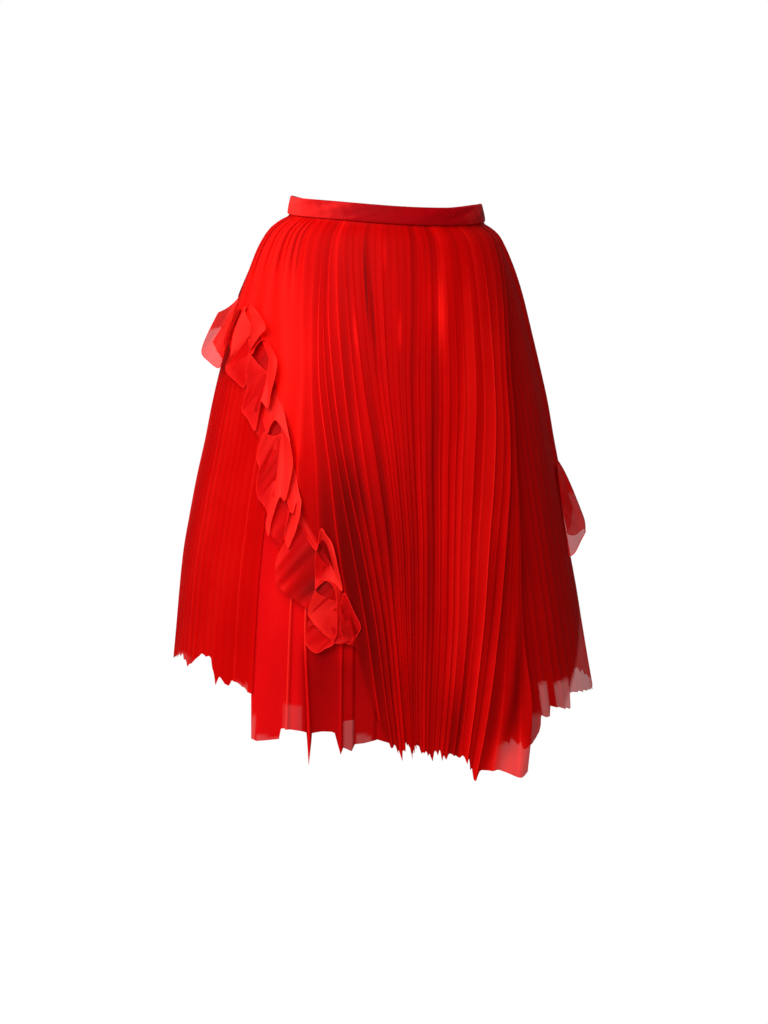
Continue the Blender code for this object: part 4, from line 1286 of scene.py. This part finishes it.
def flute_curve():
    """Curve along the free edge of the flutes. Its columns are the edge, the
    throat, the share of the seam, the tones of edge and throat, and 1 on the
    side tip. Each rim but the side tip's closes on its own start, and between
    two flutes the edge dips and lies on the skirt."""
    loops = [RIMS[0], *(rim + rim[:1] for rim in RIMS[1:])]
    counts = [len(loop) for loop in loops]
    rims = np.concatenate(loops)
    owner = np.repeat(np.arange(len(loops)), counts)
    within = np.concatenate([np.linspace(0.0, 1.0, count) for count in counts])
    flutes = np.array(FLUTES)
    throats = seen(*flutes[:, :3].T)[owner]
    _, _, _, throat_tone, start, stop = flutes[owner].T
    drawn = np.column_stack([seen(*rims[:, :3].T), throats, start + (stop - start) * within,
                             rims[:, 3], throat_tone, owner == 0])
    low = seen(rims[:, 0], rims[:, 1], DIP_OUT_MM)
    last = np.nonzero(np.diff(owner))[0]
    dips = 0.5 * (drawn[last] + drawn[last + 1])
    dips[:, :3] = 0.5 * (low[last] + low[last + 1])
    return through(np.insert(drawn, last + 1, dips, axis=0), RIM_STEPS)


def fluted_layer(seam_at, way):
    """The upper layer: from its seam the cloth runs to the throat of a flute
    and opens like a trumpet, its rim times a power of the way down the cloth.
    Near the seam the rims are blurred along the edge into one soft line."""
    curve = flute_curve()
    edge, throat, share = curve[:, :3], curve[:, 3:6], np.clip(curve[:, 6], 0.0, 1.0)
    edge_tone, throat_tone, side_tip = curve[:, 7:].T
    blur = bump(np.arange(-BLUR_COLUMNS, BLUR_COLUMNS + 1), 0.0, 9.0)
    padded = np.pad(edge, ((BLUR_COLUMNS, BLUR_COLUMNS), (0, 0)), mode="edge")
    soft = sum(w * padded[i:i + len(edge)] for i, w in enumerate(blur / blur.sum()))
    phi, drop = seam_at(share)
    seam = form_point(phi, drop, over_inner(drop) + OVER_WALL + FLUTES_OFF)
    down = way[..., None]
    rim = soft + (edge - soft) * down ** 1.6
    grid = seam * (1.0 - down) + throat * down + (rim - throat) * down ** MOUTH_FLARE
    at = np.arange(len(share))
    ripple = RIPPLE * drift(at * 0.11, way * 5.0, 41) * way
    gather = GATHER * np.sin(at * 1.3) * (1.0 - way) ** 2 * np.sin(math.pi * way ** 0.5)
    grid = grid + outward(phi, drop) * (ripple + gather)[..., None]
    # Painted light and shade: from the throat's tone to the rim's, and a painted highlight along
    # the free edge.
    tone = throat_tone + (edge_tone - throat_tone) * way ** 0.8
    tone = tone + 0.12 * way ** 14 + 0.06 * drift(at * 0.08, way * 4.0, 43)
    single = (side_tip > 0.5) & (grid[..., 2] < SIDE_TIP_LEVEL)
    return grid, tone, np.where(single, SINGLE_COVER, RUFFLE_COVER), seam


def lower_layer(seam_at, way):
    """The layer below the flutes: from the seam straight to its own drawn
    edge, swelled by two slow uneven waves."""
    drawn = np.array(LOWER_EDGE)
    edge = through(np.column_stack([seen(*drawn[:, :3].T), drawn[:, 3]]), 12)
    phi, drop = seam_at(np.linspace(LOWER_FROM, 1.0, len(edge)))
    seam = form_point(phi, drop, over_inner(drop) + OVER_WALL + LOWER_OFF)
    at = np.arange(len(edge))
    half_wave = np.sin(math.pi * way)
    swell = 0.0012 * drift(at * 0.10, way * 2.5, 45) * half_wave
    swell = swell + 0.0015 * drift(at * 0.33, way * 1.5, 49) * way ** 0.7
    down = way[..., None]
    grid = seam * (1.0 - down) + edge[:, :3] * down
    grid = grid + outward(phi, drop) * (swell + 0.0010 * half_wave)[..., None]
    # Painted shade: darker toward the seam under the flutes and in one broad patch.
    tone = edge[:, 3] + (0.34 - edge[:, 3]) * (1.0 - way)
    tone = tone - 0.26 * bump(at, 300.0, 34.0) * bump(way, 0.50, 0.42)
    return grid, tone + 0.14 * drift(at * 0.25, way * 2.0, 47)


def make_front_ruffle(phi, drop):
    """The ruffle down the slanted edge, in two layers. Its seam is the lower
    left edge of the front panel, read at shares of its run."""
    run = run_of(form_point(phi, drop, over_inner(drop)))

    def seam_at(share):
        at = share * run[-1]
        return np.interp(at, run, phi), np.interp(at, run, drop)

    way = np.linspace(0.0, 1.0, RUFFLE_ROWS)[:, None]
    grid, tone, cover, seam = fluted_layer(seam_at, way)
    below, tone_below = lower_layer(seam_at, way)
    item = add_sheet(
        "front_organza_ruffle", np.concatenate([grid, below], axis=1), "ruffle_cloth",
        np.concatenate([tone, tone_below], axis=1),
        np.concatenate([cover, np.full_like(tone_below, RUFFLE_COVER)], axis=1), grid.shape[1])
    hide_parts("front_ruffle")
    hem = add_roll("front_ruffle_hem", grid[-1], 0.5, FINE_ROLL_RADIUS)
    gathers = add_roll("front_ruffle_gathers", seam, 0.40)
    declare(grid, "gathered", below)


def make_back_ruffle(seam_phi, seam_drop):
    """The ruffle on round the back: waves that stand out from the skirt and
    swing along it, each one rounder at its crest than at its foot. The first
    one, beside the skirt's outline, curls back in at its free edge."""
    share = np.linspace(0.0, 1.0, 900)
    base = np.linspace(0.0, 1.0, len(seam_phi))
    seam_phi, seam_drop = np.interp(share, base, seam_phi), np.interp(share, base, seam_drop)
    rng = np.random.default_rng(23)
    knots = np.arange(BACK_WAVES + 1, dtype=float)
    knots[2:-1] += rng.uniform(-0.18, 0.18, BACK_WAVES - 2)
    wave = 2.0 * math.pi * np.interp(share * BACK_WAVES, knots, np.arange(BACK_WAVES + 1))
    way = np.linspace(0.0, 1.0, 26)[:, None]
    fall = read(RUFFLE_BACK, 2, share)
    drop = seam_drop + fall * way + BACK_HEM_WAVE * way * np.cos(wave)
    phi = seam_phi + np.radians(read(RUFFLE_BACK, 1, share)) * way
    hug = way ** 0.4
    out = (1.0 - hug) * (over_inner(seam_drop) + OVER_WALL + FLUTES_OFF)
    out = out + hug * (under_outer(drop) + way * read(RUFFLE_BACK, 3, share))
    reach = BACK_REACH * (0.85 + 0.3 * drift(share * 30.0, 0.0, 3))
    reach = reach + BACK_TIP_REACH * bump(share, 0.04, 0.04)
    first = bump(share, 0.0, 0.06)
    crest = (0.5 - 0.5 * np.cos(wave)) ** (1.0 - 0.45 * first)
    curl = 1.0 - 0.28 * first * (np.clip(way - 0.78, 0.0, 1.0) / 0.22) ** 2
    out = out + reach * way ** (0.6 - 0.10 * first) * crest * curl
    grid = form_point(phi, drop, out)
    swing = BACK_SWING * np.sin(2.0 * wave) * way * (1.0 - first)
    grid = grid + unit(np.gradient(grid, axis=1)) * swing[..., None]
    # Painted highlight: lighter toward the free edge.
    tone = np.broadcast_to(0.50 + 0.30 * way ** 6, drop.shape)
    single = (share < BACK_TIP_SHARE) & (drop > BACK_TIP_DROP)
    cover = np.where(single, BACK_SINGLE_COVER, BACK_COVER)
    item = add_sheet("back_organza_ruffle", grid, "ruffle_cloth", tone, cover)
    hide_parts("back_ruffle")
    hem = add_roll("back_ruffle_hem", grid[-1], 0.66)
    gathers = add_roll("back_ruffle_gathers", grid[0], 0.40)
    declare(grid, "gathered")


# ---------------------------------------------------------------- the stage

def make_floor():
    """A pale floor far below: a disc that is plain white to the camera and
    reflects as mid grey."""
    material = bare(bpy.data.materials.new("pale_floor"))
    path = node(material, "LightPath")
    matte = node(material, "BsdfDiffuse", {"Color": (0.5, 0.5, 0.5, 1.0)})
    plain = node(material, "Emission", {"Color": WHITE, "Strength": 1.0})
    mix = node(material, "MixShader", {
        0: path.outputs["Is Camera Ray"], 1: matte.outputs[0], 2: plain.outputs[0]})
    node(material, "OutputMaterial", {"Surface": mix.outputs[0]})
    turn = np.linspace(0.0, 2.0 * math.pi, 64, endpoint=False)
    rim = np.stack([FLOOR_RADIUS * np.cos(turn), FLOOR_RADIUS * np.sin(turn),
                    np.full(64, FLOOR_LEVEL)], axis=1)
    mesh = bpy.data.meshes.new("floor")
    mesh.from_pydata(rim.tolist(), [], [list(range(64))])
    mesh.materials.append(material)
    floor = bpy.data.objects.new("floor", mesh)
    bpy.context.scene.collection.objects.link(floor)


def make_world():
    """White where the camera looks past the skirt, a dim even light elsewhere."""
    world = bare(bpy.data.worlds.new("studio"))
    bpy.context.scene.world = world
    path = node(world, "LightPath")
    dim = node(world, "Background", {"Color": WHITE, "Strength": DIM_LIGHT})
    plain = node(world, "Background", {"Color": WHITE, "Strength": 1.0})
    mix = node(world, "MixShader", {
        0: path.outputs["Is Camera Ray"], 1: dim.outputs[0], 2: plain.outputs[0]})
    node(world, "OutputWorld", {"Surface": mix.outputs[0]})


def area_light(name, place, aim, size, power):
    """A round soft lamp at a place, turned toward its aim."""
    lamp = bpy.data.lights.new(name, "AREA")
    lamp.shape = "DISK"
    lamp.size = size
    lamp.energy = power
    item = bpy.data.objects.new(name, lamp)
    item.location = place
    item.rotation_mode = "QUATERNION"
    item.rotation_quaternion = (Vector(place) - Vector(aim)).to_track_quat("Z", "Y")
    bpy.context.scene.collection.objects.link(item)


def make_camera():
    """The camera of the photograph, with plain colours."""
    data = bpy.data.cameras.new("camera")
    data.sensor_width = 36.0
    data.sensor_fit = "AUTO"
    data.lens = LENS_MM
    camera = bpy.data.objects.new("camera", data)
    camera.location = EYE
    camera.rotation_euler = (math.radians(90.0 - PITCH_DEG), 0.0, 0.0)
    scene = bpy.context.scene
    scene.collection.objects.link(camera)
    scene.camera = camera
    scene.view_settings.view_transform = "Standard"
    scene.view_settings.look = "None"


# -------------------------------------------------------------- everything

make_floor()
make_world()
area_light("key", (-1.0, -1.45, 1.15), (0.0, 0.0, -0.25), 2.2, 84.0)
area_light("fill", (1.1, -2.9, 0.4), (0.0, 0.0, -0.35), 1.8, 12.0)
make_camera()

MATERIALS = make_materials()
make_waistband()
make_lining("inner_lining_front", "lining_front", -92.0, 92.0)
make_lining("inner_lining_back", "lining_back", 92.0, 268.0)
for gore in GORES:
    make_gore(*gore)
make_underlap()
front_seam = make_front_panel()
back_seam = make_back_overlay()
make_front_ruffle(*front_seam)
make_back_ruffle(*back_seam)
